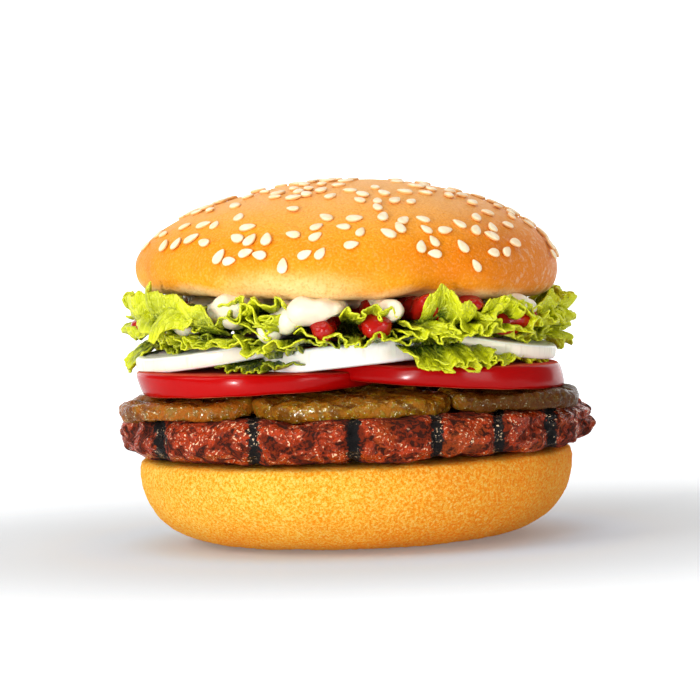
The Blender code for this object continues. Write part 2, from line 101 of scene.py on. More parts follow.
class BurgerColours(PropertyGroup):
    """The colours that a user would change."""

    crust: colour_property("Crust", "Golden crust of the upper bun", (0.94, 0.37, 0.012))
    crust_deep: colour_property(
        "Deep crust", "Crust where it browned most, and painted shade on the right", (0.74, 0.185, 0.002),
    )
    crust_top: colour_property(
        "Crust at the top", "Painted highlight on the crust at the top of the dome", (0.97, 0.49, 0.14),
    )
    crust_pale: colour_property("Pale crust", "Crust low on the upper bun", (1.0, 0.80, 0.42))
    crust_worn: colour_property(
        "Worn crust", "Floury patches at the crown's right", (0.86, 0.58, 0.34),
    )
    crumb: colour_property("Heel crust", "Raised grains of the lower bun", (1.0, 0.63, 0.08))
    crumb_pale: colour_property(
        "Pale grains", "Highest grains of the lower bun", (1.0, 0.76, 0.26),
    )
    crumb_pore: colour_property("Heel pores", "Pores of the lower bun", (0.94, 0.34, 0.004))
    crumb_deep: colour_property(
        "Browned heel and painted shade", "Grains where the lower bun browned, and painted shade on its right side", (1.0, 0.42, 0.030),
    )
    crumb_burnt: colour_property(
        "Browned pores and painted shade", "Pores where the lower bun browned, and painted shade on its right side", (0.96, 0.22, 0.004),
    )
    seed: colour_property("Seed", "Sesame seeds", (0.98, 0.81, 0.56))
    seed_toasted: colour_property("Toasted seed", "Patches on the seeds", (0.92, 0.60, 0.30))
    seed_rim: colour_property("Seed rim", "Browned edges of the seeds, and painted shadow below them", (0.88, 0.46, 0.12))
    meat: colour_property("Meat", "Seared meat", (0.43, 0.036, 0.003))
    meat_pale: colour_property("Pale meat", "Meat that seared least", (0.50, 0.090, 0.014))
    meat_dark: colour_property("Dark meat", "Meat that seared most, and painted shade in its crevices", (0.036, 0.005, 0.001))
    fat: colour_property("Fat and glints", "Specks of fat in the meat", (1.0, 0.70, 0.42))
    char: colour_property("Char", "Grill marks", (0.006, 0.005, 0.005))
    pickle: colour_property("Pickle", "Pickle flesh", (0.33, 0.118, 0.005))
    pickle_warm: colour_property(
        "Warm pickle", "Pickle flesh that shows the meat below", (0.34, 0.092, 0.006),
    )
    pickle_light: colour_property("Light pickle", "Streaks of the pickle", (0.50, 0.30, 0.010))
    pickle_dark: colour_property("Dark pickle", "Shaded pickle flesh", (0.050, 0.012, 0.002))
    brine: colour_property("Brine glints", "Wet specks on the pickle, painted as glints", (0.92, 0.82, 0.50))
    pickle_skin: colour_property(
        "Pickle skin", "Marks on the pickle's skin", (0.080, 0.060, 0.003),
    )
    tomato: colour_property("Tomato", "Tomato skin", (0.44, 0.001, 0.001))
    tomato_deep: colour_property(
        "Deep tomato", "Tomato skin away from the light", (0.35, 0.002, 0.002),
    )
    tomato_flesh: colour_property("Tomato flesh", "Tomato cut face", (0.60, 0.045, 0.018))
    tomato_pulp: colour_property("Tomato pulp", "Patches of the cut face", (0.70, 0.16, 0.06))
    onion: colour_property("Onion", "White onion", (1.0, 0.985, 0.95))
    onion_side: colour_property(
        "Onion side", "Outer skin of the onion ring", (0.90, 0.80, 0.64),
    )
    onion_line: colour_property("Onion lines", "Fine lines on the skin", (0.66, 0.54, 0.38))
    leaf: colour_property("Leaf", "Lettuce near its margin", (0.66, 0.70, 0.008))
    leaf_dark: colour_property("Dark leaf", "Lettuce near its base, darkened as painted shade", (0.040, 0.085, 0.003))
    leaf_vein: colour_property("Vein and edge highlight", "Lettuce veins, and a painted highlight along thin edges", (0.76, 0.81, 0.07))
    ketchup: colour_property("Ketchup", "Ketchup", (0.44, 0.008, 0.004))
    ketchup_deep: colour_property("Deep ketchup", "Darker ketchup", (0.26, 0.005, 0.003))
    mayonnaise: colour_property("Mayonnaise", "Mayonnaise", (0.86, 0.78, 0.60))
    mayonnaise_deep: colour_property("Deep mayonnaise", "Darker mayonnaise", (0.82, 0.69, 0.48))


class Wire:
    """The output of a shader node, which takes part in sums as a number does."""

    def __init__(self, finish, socket):
        self.finish = finish
        self.socket = socket

    def sum(self, operation, first, second):
        return self.finish.node("ShaderNodeMath", {"operation": operation}, {0: first, 1: second})

    def __add__(self, other):
        return self.sum("ADD", self, other)

    def __radd__(self, other):
        return self.sum("ADD", other, self)

    def __sub__(self, other):
        return self.sum("SUBTRACT", self, other)

    def __rsub__(self, other):
        return self.sum("SUBTRACT", other, self)

    def __mul__(self, other):
        return self.sum("MULTIPLY", self, other)

    def __rmul__(self, other):
        return self.sum("MULTIPLY", other, self)

    def __abs__(self):
        return self.finish.node("ShaderNodeMath", {"operation": "ABSOLUTE"}, {0: self})

    def least(self, other):
        return self.sum("MINIMUM", self, other)

    def most(self, other):
        return self.sum("MAXIMUM", self, other)

    def rise(self, low, high):
        """0 up to low, 1 from high, and a smooth slope between them."""
        return self.finish.node(
            "ShaderNodeMapRange",
            {"interpolation_type": "SMOOTHSTEP"},
            {"Value": self, "From Min": low, "From Max": high},
        )

    def fall(self, low, high):
        return 1 - self.rise(low, high)


class Finish:
    """One material, whose nodes are made by expressions on wires."""

    def __init__(self, name, roughness=0.5, **constants):
        self.material = bpy.data.materials.new(name)
        self.material.use_nodes = True
        self.tree = self.material.node_tree
        self.shader = self.tree.nodes["Principled BSDF"]
        self.place = self.node("ShaderNodeTexCoord", output=3)
        self.set("Roughness", roughness)
        for socket, value in constants.items():
            self.set(socket.replace("_", " "), value)

    def node(self, kind, settings=None, sockets=None, output=0):
        made = self.tree.nodes.new(kind)
        for key, value in (settings or {}).items():
            setattr(made, key, value)
        for key, value in (sockets or {}).items():
            self.feed(made.inputs[key], value)
        return Wire(self, made.outputs[output])

    def feed(self, socket, value):
        if isinstance(value, Wire):
            self.tree.links.new(value.socket, socket)
        elif socket.type == "RGBA":
            socket.default_value = (*value, 1)
        else:
            socket.default_value = value

    def set(self, socket, value):
        self.feed(self.shader.inputs[socket], value)

    def axis(self, number):
        return self.node("ShaderNodeSeparateXYZ", None, {0: self.place}, number)

    def stretched(self, x, y, z):
        """Object coordinates with each axis scaled, for a pattern that runs along one of them."""
        scaled = {"operation": "MULTIPLY"}
        return self.node("ShaderNodeVectorMath", scaled, {0: self.place, 1: (x, y, z)})

    def mottle(self, size, detail=3.0, roughness=0.5, distortion=0.0, where=None):
        """Cloudy noise, about 0 to 1, whose patches are about that many metres wide."""
        sockets = {"Vector": where or self.place, "Scale": 1 / size, "Detail": detail}
        sockets.update({"Roughness": roughness, "Distortion": distortion})
        return self.node("ShaderNodeTexNoise", None, sockets)

    def cell_edges(self, size, where):
        """Distance to the nearest edge between cells that are about that many metres wide."""
        sockets = {"Vector": where, "Scale": 1 / size}
        return self.node("ShaderNodeTexVoronoi", {"feature": "DISTANCE_TO_EDGE"}, sockets)

    def painted(self, name):
        """The value that paint gave to each point."""
        return self.node("ShaderNodeAttribute", {"attribute_name": name}, output=2)

    def blend(self, first, second, share):
        """The first colour turning into the second."""
        mix = {"data_type": "RGBA", "blend_type": "MIX"}
        return self.node("ShaderNodeMix", mix, {0: share, 6: first, 7: second}, 2)

    def relief(self, height, depth, strength=1.0):
        """Bumps the surface by that height, times depth in metres."""
        bump = {"Height": height, "Distance": depth, "Strength": strength}
        self.set("Normal", self.node("ShaderNodeBump", None, bump))


def deselect_all():
    if bpy.context.object is not None and bpy.context.object.mode != "OBJECT":
        bpy.ops.object.mode_set(mode="OBJECT")
    bpy.ops.object.select_all(action="DESELECT")


def named(name):
    """The active object, renamed, with its mesh."""
    piece = bpy.context.object
    piece.name = name
    piece.data.name = name
    return piece


def use_only(piece):
    deselect_all()
    piece.select_set(True)
    bpy.context.view_layer.objects.active = piece


def apply_modifier(piece, kind, **settings):
    use_only(piece)
    modifier = piece.modifiers.new(kind, kind)
    for key, value in settings.items():
        setattr(modifier, key, value)
    bpy.ops.object.modifier_apply(modifier=modifier.name)


def joined(pieces):
    """The first piece, with the others joined to it."""
    use_only(pieces[0])
    for piece in pieces[1:]:
        piece.select_set(True)
    if len(pieces) > 1:
        bpy.ops.object.join()
    return pieces[0]


def paint(piece, name, value):
    """Stores value(place) at each point, for the finish to read."""
    layer = piece.data.attributes.new(name, "FLOAT", "POINT")
    for vert, item in zip(piece.data.vertices, layer.data):
        item.value = value(vert.co)


def spun(name, outline, steps, levels):
    """Spins an outline of (radius, height) from the top pole to the bottom pole into a closed skin,
    and rounds it with subdivision surfaces."""
    deselect_all()
    bpy.ops.mesh.primitive_plane_add(size=MM)
    piece = named(name)
    bpy.ops.object.mode_set(mode="EDIT")
    bpy.ops.mesh.merge(type="CENTER")
    bpy.ops.transform.translate(value=(outline[0][0], 0, outline[0][1]))
    for (radius, height), (next_radius, next_height) in zip(outline, outline[1:]):
        move = (next_radius - radius, 0, next_height - height)
        bpy.ops.mesh.extrude_region_move(TRANSFORM_OT_translate={"value": move})
    bpy.ops.mesh.select_all(action="SELECT")
    bpy.ops.mesh.spin(steps=steps, angle=math.tau, center=(0, 0, 0), axis=(0, 0, 1))
    bpy.ops.mesh.select_all(action="SELECT")
    bpy.ops.mesh.remove_doubles(threshold=0.002 * MM)
    bpy.ops.mesh.normals_make_consistent(inside=False)
    bpy.ops.object.mode_set(mode="OBJECT")
    apply_modifier(piece, "SUBSURF", levels=levels, render_levels=levels)
    return piece


def polar(angle, radius, height, sideways=0.0):
    """The point at an angle from the front (-Y) that grows towards the right (+X)."""
    return Vector((radius * math.sin(angle) + sideways, -radius * math.cos(angle), height))


def reshape(piece, shape, place=None):
    """Moves each point to shape(angle, radius, height), and then to its place on the burger."""
    for vert in piece.data.vertices:
        radius = math.hypot(vert.co.x, vert.co.y)
        angle = math.atan2(vert.co.x, -vert.co.y)
        vert.co = shape(angle, radius, vert.co.z)
        if place is not None:
            vert.co = place @ vert.co
    piece.data.update()


def roughen(piece, layers):
    """Pushes points along their normals by noise; each layer is (size of its lumps, depth)."""
    normals = [vert.normal.copy() for vert in piece.data.vertices]
    for vert, normal in zip(piece.data.vertices, normals):
        push = sum(depth * noise.noise(vert.co / size) for size, depth in layers)
        vert.co += normal * push
    piece.data.update()


def placed(x, y, z, lean_back=0.0, lean_right=0.0):
    """A place in millimetres and degrees."""
    matrix = Matrix.Translation(Vector((x, y, z)) * MM)
    matrix @= Matrix.Rotation(math.radians(-lean_back), 4, "X")
    return matrix @ Matrix.Rotation(math.radians(lean_right), 4, "Y")


def wobble(angle, phase):
    """A slow uneven wave round the circle, between about -1 and 1."""
    slow = 0.5 * math.cos(2 * angle + phase)
    return slow + 0.3 * math.cos(3 * angle + 1.7 * phase) + 0.2 * math.cos(5 * angle + 2.3 * phase)


def bump(angle, at_degrees, width_degrees):
    """A smooth hill of height 1 round the circle, at an angle measured from the front."""
    off = (math.degrees(angle) - at_degrees + 180) % 360 - 180
    return math.exp(-((off / width_degrees) ** 2))


def smooth(low, high, value):
    """0 up to low, 1 from high, and a smooth slope between them."""
    share = min(max((value - low) / (high - low), 0.0), 1.0)
    return share * share * (3 - 2 * share)


def trim(piece, other, gap):
    """Cuts the piece back from another that it lies on, with a gap, and drops any loose scrap."""
    use_only(other)
    bpy.ops.object.duplicate()
    cutter = bpy.context.object
    apply_modifier(cutter, "DISPLACE", mid_level=0, strength=gap)
    apply_modifier(piece, "BOOLEAN", operation="DIFFERENCE", solver="MANIFOLD", object=cutter)
    bpy.data.objects.remove(cutter, do_unlink=True)
    keep_largest(piece)


def keep_largest(piece):
    shape = bmesh.new()
    shape.from_mesh(piece.data)
    left = set(shape.verts)
    shells = []
    while left:
        shell, todo = set(), [next(iter(left))]
        while todo:
            vert = todo.pop()
            if vert not in shell:
                shell.add(vert)
                todo += [edge.other_vert(vert) for edge in vert.link_edges]
        left -= shell
        shells.append(shell)
    shells.sort(key=len)
    for shell in shells[:-1]:
        bmesh.ops.delete(shape, geom=list(shell), context="VERTS")
    shape.to_mesh(piece.data)
    shape.free()


def serve(piece, slot, finish, *nodes, sharp=None):
    """Shades a finished piece, gives it its finish, and puts it in the place of its solids."""
    use_only(piece)
    if sharp is None:
        bpy.ops.object.shade_smooth()
    else:
        bpy.ops.object.shade_smooth_by_angle(angle=math.radians(sharp))
    piece.data.materials.clear()
    piece.data.materials.append(finish.material)
    if nodes:
        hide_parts(*nodes)
    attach(piece, "root")


# The lower bun

HEEL_FLAT_RADIUS = 28.5
HEEL_SIDE = (
    (48.6, 20.0), (49.6, 19.0), (49.8, 16.4), (49.2, 12.0), (46.6, 6.9), (41.9, 3.0), (36.0, 0.8),
    (HEEL_FLAT_RADIUS, 0.0),
)


def heel_finish(colours):
    finish = Finish("heel crust", 0.8, Specular_IOR_Level=0.1)
    grain = finish.mottle(0.62 * MM, 4, 0.85)
    pits = grain.fall(0.43, 0.53)
    cloud = finish.mottle(11 * MM, 3)
    # This mask is partly real and partly painted shade: the cloudy patches and the bottom are browned
    # crust, and the right side, away from the key light, is darkened as painted shade.
    low = finish.axis(2).fall(-2 * MM, 12 * MM)
    right = finish.axis(0).rise(-14 * MM, 42 * MM)
    browning = (cloud * 0.8 + low * 0.6 + right * 0.75 - 0.16).most(0).least(1)
    grains = finish.blend(colours.crumb, colours.crumb_deep, browning)
    pores = finish.blend(colours.crumb_pore, colours.crumb_burnt, browning)
    porous = finish.blend(grains, pores, pits)
    finish.set("Base Color", finish.blend(porous, colours.crumb_pale, grain.rise(0.54, 0.62) * 0.6))
    finish.relief(grain, 0.7 * MM, 0.6)
    return finish


def make_lower_bun(context):
    sizes = context.scene.burger_sizes
    outline = [(0, sizes.heel_height), (40 * MM, sizes.heel_height)]
    outline += [(radius * MM, height * MM) for radius, height in HEEL_SIDE]
    outline += [(15 * MM, 0), (0, 0)]
    heel = spun("lower_bun", outline, 64, 3)
    flat = HEEL_FLAT_RADIUS * MM

    def shape(angle, radius, height):
        side = max(0.0, radius - flat) / (sizes.heel_radius - flat)
        return polar(angle, radius * (1 + 0.006 * side * wobble(angle, 0.8)), height)

    reshape(heel, shape)
    rest = [vert.co.z for vert in heel.data.vertices]
    roughen(heel, ((9 * MM, 0.25 * MM), (1.3 * MM, 0.16 * MM), (0.7 * MM, 0.10 * MM)))
    for vert, was in zip(heel.data.vertices, rest):
        if was < 0.05 * MM:
            vert.co.z = was
        vert.co.z = min(max(vert.co.z, 0.0), sizes.heel_height)
    serve(heel, "bun", heel_finish(context.scene.burger_colours), "bun_heel")


# The patty

GRILL_BARS = (-43.0, -22.0, -0.3, 17.6, 31.4, 43.4)
GRILL_BAR_WIDTH = 1.35 * MM
PATTY_EDGE = (
    (0.90, 0.5), (0.955, 0.43), (0.985, 0.28), (1.0, 0.06), (0.99, -0.2), (0.955, -0.40),
    (0.90, -0.5),
)


def patty_finish(colours):
    finish = Finish("seared meat", Specular_IOR_Level=0.2)
    across = finish.axis(0)
    lumps = finish.mottle(4.5 * MM, 3, 0.55, 0.5)
    grain = finish.mottle(1.3 * MM, 3, 0.65, 0.8)
    fine = finish.mottle(0.6 * MM, 2, 0.5)
    patches = finish.mottle(7 * MM, 2)
    # Partly seared crust, partly painted shade: the meat darkens where its lumps and grain sink, in
    # the hollows of its relief.
    dark = (lumps.fall(0.42, 0.56) * 0.7 + grain.fall(0.42, 0.54) * 0.45).least(1)
    crust = finish.blend(colours.meat, colours.meat_dark, dark)
    pale = (patches * 0.6 + grain * 0.4 + across.rise(-10 * MM, 30 * MM) * 0.05).rise(0.56, 0.64)
    seared = finish.blend(crust, colours.meat_pale, pale * 0.35)
    jitter = (finish.mottle(1.6 * MM, 3, 0.6) - 0.5) * (4.2 * MM)
    marks = None
    for bar in GRILL_BARS:
        mark = abs(across + jitter - bar * MM).fall(GRILL_BAR_WIDTH * 0.8, GRILL_BAR_WIDTH * 1.15)
        marks = mark if marks is None else marks.most(mark)
    specks = finish.mottle(2.0 * MM, 4, 0.7).rise(0.60, 0.66) * 0.8
    charred = finish.blend(seared, colours.char, marks.most(specks))
    wet = lumps.rise(0.46, 0.56)
    # Painted glints: pale specks, gathered on the wet patches, stand in for highlights as well as for
    # fatty specks.
    fat = fine.rise(0.58, 0.63) * (wet * grain.rise(0.44, 0.54))
    finish.set("Base Color", finish.blend(charred, colours.fat, fat * 0.9))
    hidden = finish.axis(2).rise(PATTY_HIGH.z - 1.2 * MM, PATTY_HIGH.z - 0.4 * MM)
    finish.set("Roughness", (0.9 - 0.8 * wet).most(hidden * 0.95))
    finish.relief(lumps + 0.6 * grain + 0.6 * fine, 0.8 * MM, 1.0)
    return finish


def make_patty(context):
    sizes = context.scene.burger_sizes
    thickness = PATTY_HIGH.z - PATTY_LOW.z
    middle = (PATTY_HIGH.z + PATTY_LOW.z) / 2
    outline = [(0, 0.5 * thickness), (0.5 * sizes.patty_radius, 0.5 * thickness)]
    outline += [(share * sizes.patty_radius, lift * thickness) for share, lift in PATTY_EDGE]
    outline += [(0.5 * sizes.patty_radius, -0.5 * thickness), (0, -0.5 * thickness)]
    patty = spun("grilled_patty", outline, 72, 3)

    def shape(angle, radius, height):
        side = (radius / sizes.patty_radius) ** 6
        at = Vector((math.sin(angle), math.cos(angle), height / thickness))
        torn = 1 + 1.3 * bump(angle, 78, 26) + 0.7 * bump(angle, -84, 20)
        crag = (1.0 * torn * noise.noise(at * 7.0) + noise.noise(at * 2.2)) * MM
        point = polar(angle, radius + side * crag, height)
        groove = max(math.exp(-(((point.x - bar * MM) / (1.5 * MM)) ** 2)) for bar in GRILL_BARS)
        point.xy *= 1 - 0.022 * side * groove
        point.z *= 1 - 0.10 * groove
        point.z += middle
        return point

    reshape(patty, shape)
    roughen(patty, ((8 * MM, 1.2 * MM), (3.2 * MM, 0.45 * MM), (1.2 * MM, 0.12 * MM)))
    for vert in patty.data.vertices:
        vert.co.z = min(max(vert.co.z, PATTY_LOW.z - 0.2 * MM), PATTY_HIGH.z)
    serve(patty, "patty", patty_finish(context.scene.burger_colours), "beef_patty")


# Pickles, tomato and onion

# name, x, y, long radius, short radius, turn
PICKLES = (
    ("pickle_front_centre", -0.5, -34.5, 22.0, 13.6, 0),
    ("pickle_front_left", -36.4, -21.6, 19.5, 13.2, -47),
    ("pickle_front_right", 34.4, -23.0, 18.0, 13.2, 42),
    ("pickle_back_right", 33.5, 19.5, 17.5, 12.6, -44),
    ("pickle_back_centre", 0.5, 35.0, 19.0, 13.0, 2),
    ("pickle_back_left", -34.5, 19.0, 18.0, 12.6, 40),
)
PICKLE_THICKNESS = 4.0 * MM
PICKLE_EDGE = (
    (0.0, 0.5), (0.5, 0.5), (0.84, 0.48), (0.93, 0.45), (0.98, 0.36), (1.0, 0.2),
    (1.0, -0.2), (0.98, -0.40), (0.94, -0.48), (0.5, -0.5), (0.0, -0.5),
)
PICKLE_LEAN = math.radians(4)
PICKLE_MIDDLE = PATTY_HIGH.z + 2.2 * MM

# name, x, y, radius, rise of the bottom, lean back, lean right, skin slant, thinning direction
TOMATOES = (
    ("tomato_left", -20.0, -14.6, 28.2, 0.0, 0.0, 1.2, -0.03, (1, 0)),
    ("tomato_right", 18.6, -14.4, 28.6, 0.5, 0.0, 2.2, 0.02, (-1, 0)),
    ("tomato_back", 0.0, 24.0, 23.5, 2.6, 5.2, 0.0, -0.05, (0, -1)),
)
TOMATO_THICKNESS = 6.0 * MM
TOMATO_BOTTOM = PATTY_HIGH.z + 3.9 * MM

# name, x, y, radius, thickness, height of the middle, lean back, lean right
ONIONS = (
    ("onion_centre", -0.4, -24.0, 20.0, 5.2, 42.9, 3.0, -4.5),
    ("onion_left", -26.5, -13.5, 22.5, 3.7, 45.0, -1.5, -8.0),
    ("onion_right", 26.5, -14.0, 20.0, 3.3, 45.5, -1.5, 11.0),
    ("onion_back", 0.5, 28.6, 18.2, 4.0, 44.6, 5.5, 1.0),
)
ONION_RINGS = (0.22, 0.36, 0.50, 0.64, 0.78, 0.90)
SLICE_BULGE = 0.006
SLICE_GAP = 0.15 * MM


def slice_outline(radius, thickness, rings=()):
    """A round slice from pole to pole: cut faces with a groove at each ring, and a bulging skin."""
    half = thickness / 2
    face = [(0.0, half)]
    for ring in rings:
        at = radius * ring
        face += [(at - 0.35 * MM, half), (at, half - 0.22 * MM), (at + 0.35 * MM, half)]
    face += [(radius * 0.93, half), (radius * 0.985, half * 0.94)]
    wide = radius * (1 + SLICE_BULGE)
    upper = face + [(wide - 0.1 * MM, half * 0.72), (wide, half * 0.3)]
    return upper + [(r, -h) for r, h in reversed(upper)]


def pickle_finish(colours):
    finish = Finish(
        "pickle", Subsurface_Weight=0.1, Subsurface_Scale=1.5 * MM, Specular_IOR_Level=0.1,
        Coat_Roughness=0.1,
    )
    across = finish.axis(0)
    flesh = finish.mottle(5 * MM, 4, 0.6, 0.8)
    streaks = finish.mottle(1.5 * MM, 3, 0.65, 0.5)
    fine = finish.mottle(0.5 * MM, 1)
    warm = (across.fall(-28 * MM, -16 * MM) * 0.8 + flesh.rise(0.5, 0.7) * 0.3).least(1)
    dark = (flesh.fall(0.40, 0.54) * 0.7 + across.rise(16 * MM, 30 * MM) * 0.95).least(1)
    flesh_colour = finish.blend(colours.pickle, colours.pickle_warm, warm)
    light = streaks.rise(0.48, 0.62) * (0.8 - 0.5 * across.fall(-30 * MM, -16 * MM))
    streaked = finish.blend(flesh_colour, colours.pickle_light, light)
    marked = finish.blend(streaked, colours.pickle_skin, (flesh * streaks).rise(0.26, 0.34) * 0.5)
    shaded = finish.blend(marked, colours.pickle_dark, dark * 0.88)
    wet = streaks.rise(0.48, 0.60)
    right = across.rise(10 * MM, 24 * MM)
    # Painted glints: pale wet specks stand in for highlights, fewer on the right pickles, which are
    # painted in shade.
    specks = fine.rise(0.62, 0.68) * wet * (0.85 - 0.6 * right)
    finish.set("Base Color", finish.blend(shaded, colours.brine, specks))
    finish.set("Coat Weight", wet * (0.55 - 0.45 * right))
    finish.set("Roughness", 0.14 + 0.3 * flesh.rise(0.4, 0.65))
    finish.relief(streaks + flesh + 0.3 * fine, 0.9 * MM, 0.8)
    return finish


def make_pickles(context):
    finish = pickle_finish(context.scene.burger_colours)
    for number, (name, x, y, long_radius, short_radius, turn) in enumerate(PICKLES):
        full = long_radius * MM
        outline = [(share * full, lift * PICKLE_THICKNESS) for share, lift in PICKLE_EDGE]
        pickle = spun(name + "_slice", outline, 40, 2)
        squeeze = short_radius / long_radius
        outwards = math.atan2(x, -y)
        place = Matrix.Translation((x * MM, y * MM, PICKLE_MIDDLE))
        hinge = Vector((math.cos(outwards), math.sin(outwards), 0))
        place @= Matrix.Rotation(PICKLE_LEAN, 4, hinge)
        place @= Matrix.Rotation(math.radians(turn), 4, "Z")

        def shape(angle, radius, height, number=number, squeeze=squeeze, full=full):
            across = math.hypot(math.sin(angle), math.cos(angle) / squeeze)
            wave = 0.35 * MM * math.sin(3 * angle + number) * (radius / full) ** 2
            return polar(angle, radius / across * (1 + 0.02 * wobble(angle, number)), height + wave)

        reshape(pickle, shape, place)
        roughen(pickle, ((5 * MM, 0.8 * MM), (2.2 * MM, 0.45 * MM), (1 * MM, 0.18 * MM)))
        serve(pickle, "pickle", finish, name)


def tomato_finish(colours):
    finish = Finish(
        "tomato", Subsurface_Weight=0.1, Subsurface_Scale=1.5 * MM, Specular_IOR_Level=0.14,
    )
    cut = finish.painted("cut")
    flesh = finish.mottle(5 * MM, 3, 0.5, 0.6)
    streak = finish.mottle(2.2 * MM, 3, 0.5, where=finish.stretched(1, 1, 0.12))
    across = finish.axis(0)
    skin = finish.blend(colours.tomato, colours.tomato_deep, across.rise(-24 * MM, 12 * MM) * 0.85)
    skin = finish.blend(skin, colours.tomato_deep, streak.rise(0.50, 0.85) * 0.4)
    inner = finish.blend(colours.tomato_flesh, colours.tomato_pulp, flesh.rise(0.45, 0.75) * 0.6)
    finish.set("Base Color", finish.blend(skin, inner, cut.rise(0.3, 0.7)))
    finish.set("Roughness", 0.17 + 0.7 * cut)
    finish.relief(flesh * cut + 0.03 * streak, 0.5 * MM, 0.5)
    return finish


def make_tomatoes(context):
    finish = tomato_finish(context.scene.burger_colours)
    made = []
    half = TOMATO_THICKNESS / 2
    for number, (name, x, y, radius, rise, back, right, slant, thin) in enumerate(TOMATOES):
        tomato = spun(name + "_slice", slice_outline(radius * MM, TOMATO_THICKNESS), 56, 2)
        paint(tomato, "cut", lambda at: float(abs(at.z) > 0.90 * half))

        def shape(angle, r, height, number=number, slant=slant, thin=thin, full=radius * MM):
            along = r * (math.sin(angle) * thin[0] - math.cos(angle) * thin[1]) / full
            wedge = 1.0 - 0.22 * (along + 1)
            slanted = r * (1 - slant * math.sin(angle) ** 2 * (height / half) * (r / full) ** 8)
            slanted *= 1 + 0.012 * wobble(angle, number + 2)
            return polar(angle, slanted, (height - half) * wedge + half)

        place = placed(x, y, 0, back, right)
        place.translation.z = TOMATO_BOTTOM + half + rise * MM
        reshape(tomato, shape, place)
        roughen(tomato, ((7 * MM, 0.18 * MM),))
        for earlier in made:
            trim(tomato, earlier, SLICE_GAP)
        made.append(tomato)
        serve(tomato, "tomato", finish, name, sharp=50)
    return made


def onion_finish(colours):
    finish = Finish("onion", 0.25, Subsurface_Weight=0.15, Subsurface_Scale=2 * MM)
    side = finish.painted("side")
    streak = finish.mottle(0.9 * MM, 3, 0.5, where=finish.stretched(1, 1, 0.12))
    cloud = finish.mottle(6 * MM, 2)
    across = finish.axis(0)
    middle = across.rise(-24 * MM, -14 * MM) * across.fall(12 * MM, 24 * MM)
    rind = side.rise(0.25, 0.6) * (0.85 - 0.55 * middle) + cloud.rise(0.45, 0.8) * 0.25
    shade = finish.blend(colours.onion, colours.onion_side, rind.least(1))
    lined = finish.blend(shade, colours.onion_line, streak.rise(0.56, 0.76) * side * 0.35)
    finish.set("Base Color", lined)
    finish.relief(streak, 0.2 * MM, 0.6)
    return finish


def make_onions(context, lower):
    finish = onion_finish(context.scene.burger_colours)
    made = []
    for number, (name, x, y, radius, thickness, middle, back, right) in enumerate(ONIONS):
        outline = slice_outline(radius * MM, thickness * MM, ONION_RINGS)
        onion = spun(name + "_slice", outline, 48, 2)
        half = thickness * MM / 2
        paint(onion, "side", lambda at: 1 - smooth(0.55, 0.85, abs(at.z) / half))

        def shape(angle, r, height, number=number):
            return polar(angle, r * (1 + 0.012 * wobble(angle, number + 5)), height)

        reshape(onion, shape, placed(x, y, middle, back, right))
        for earlier in lower + made:
            trim(onion, earlier, SLICE_GAP)
        made.append(onion)
        serve(onion, "onion", finish, name, sharp=50)
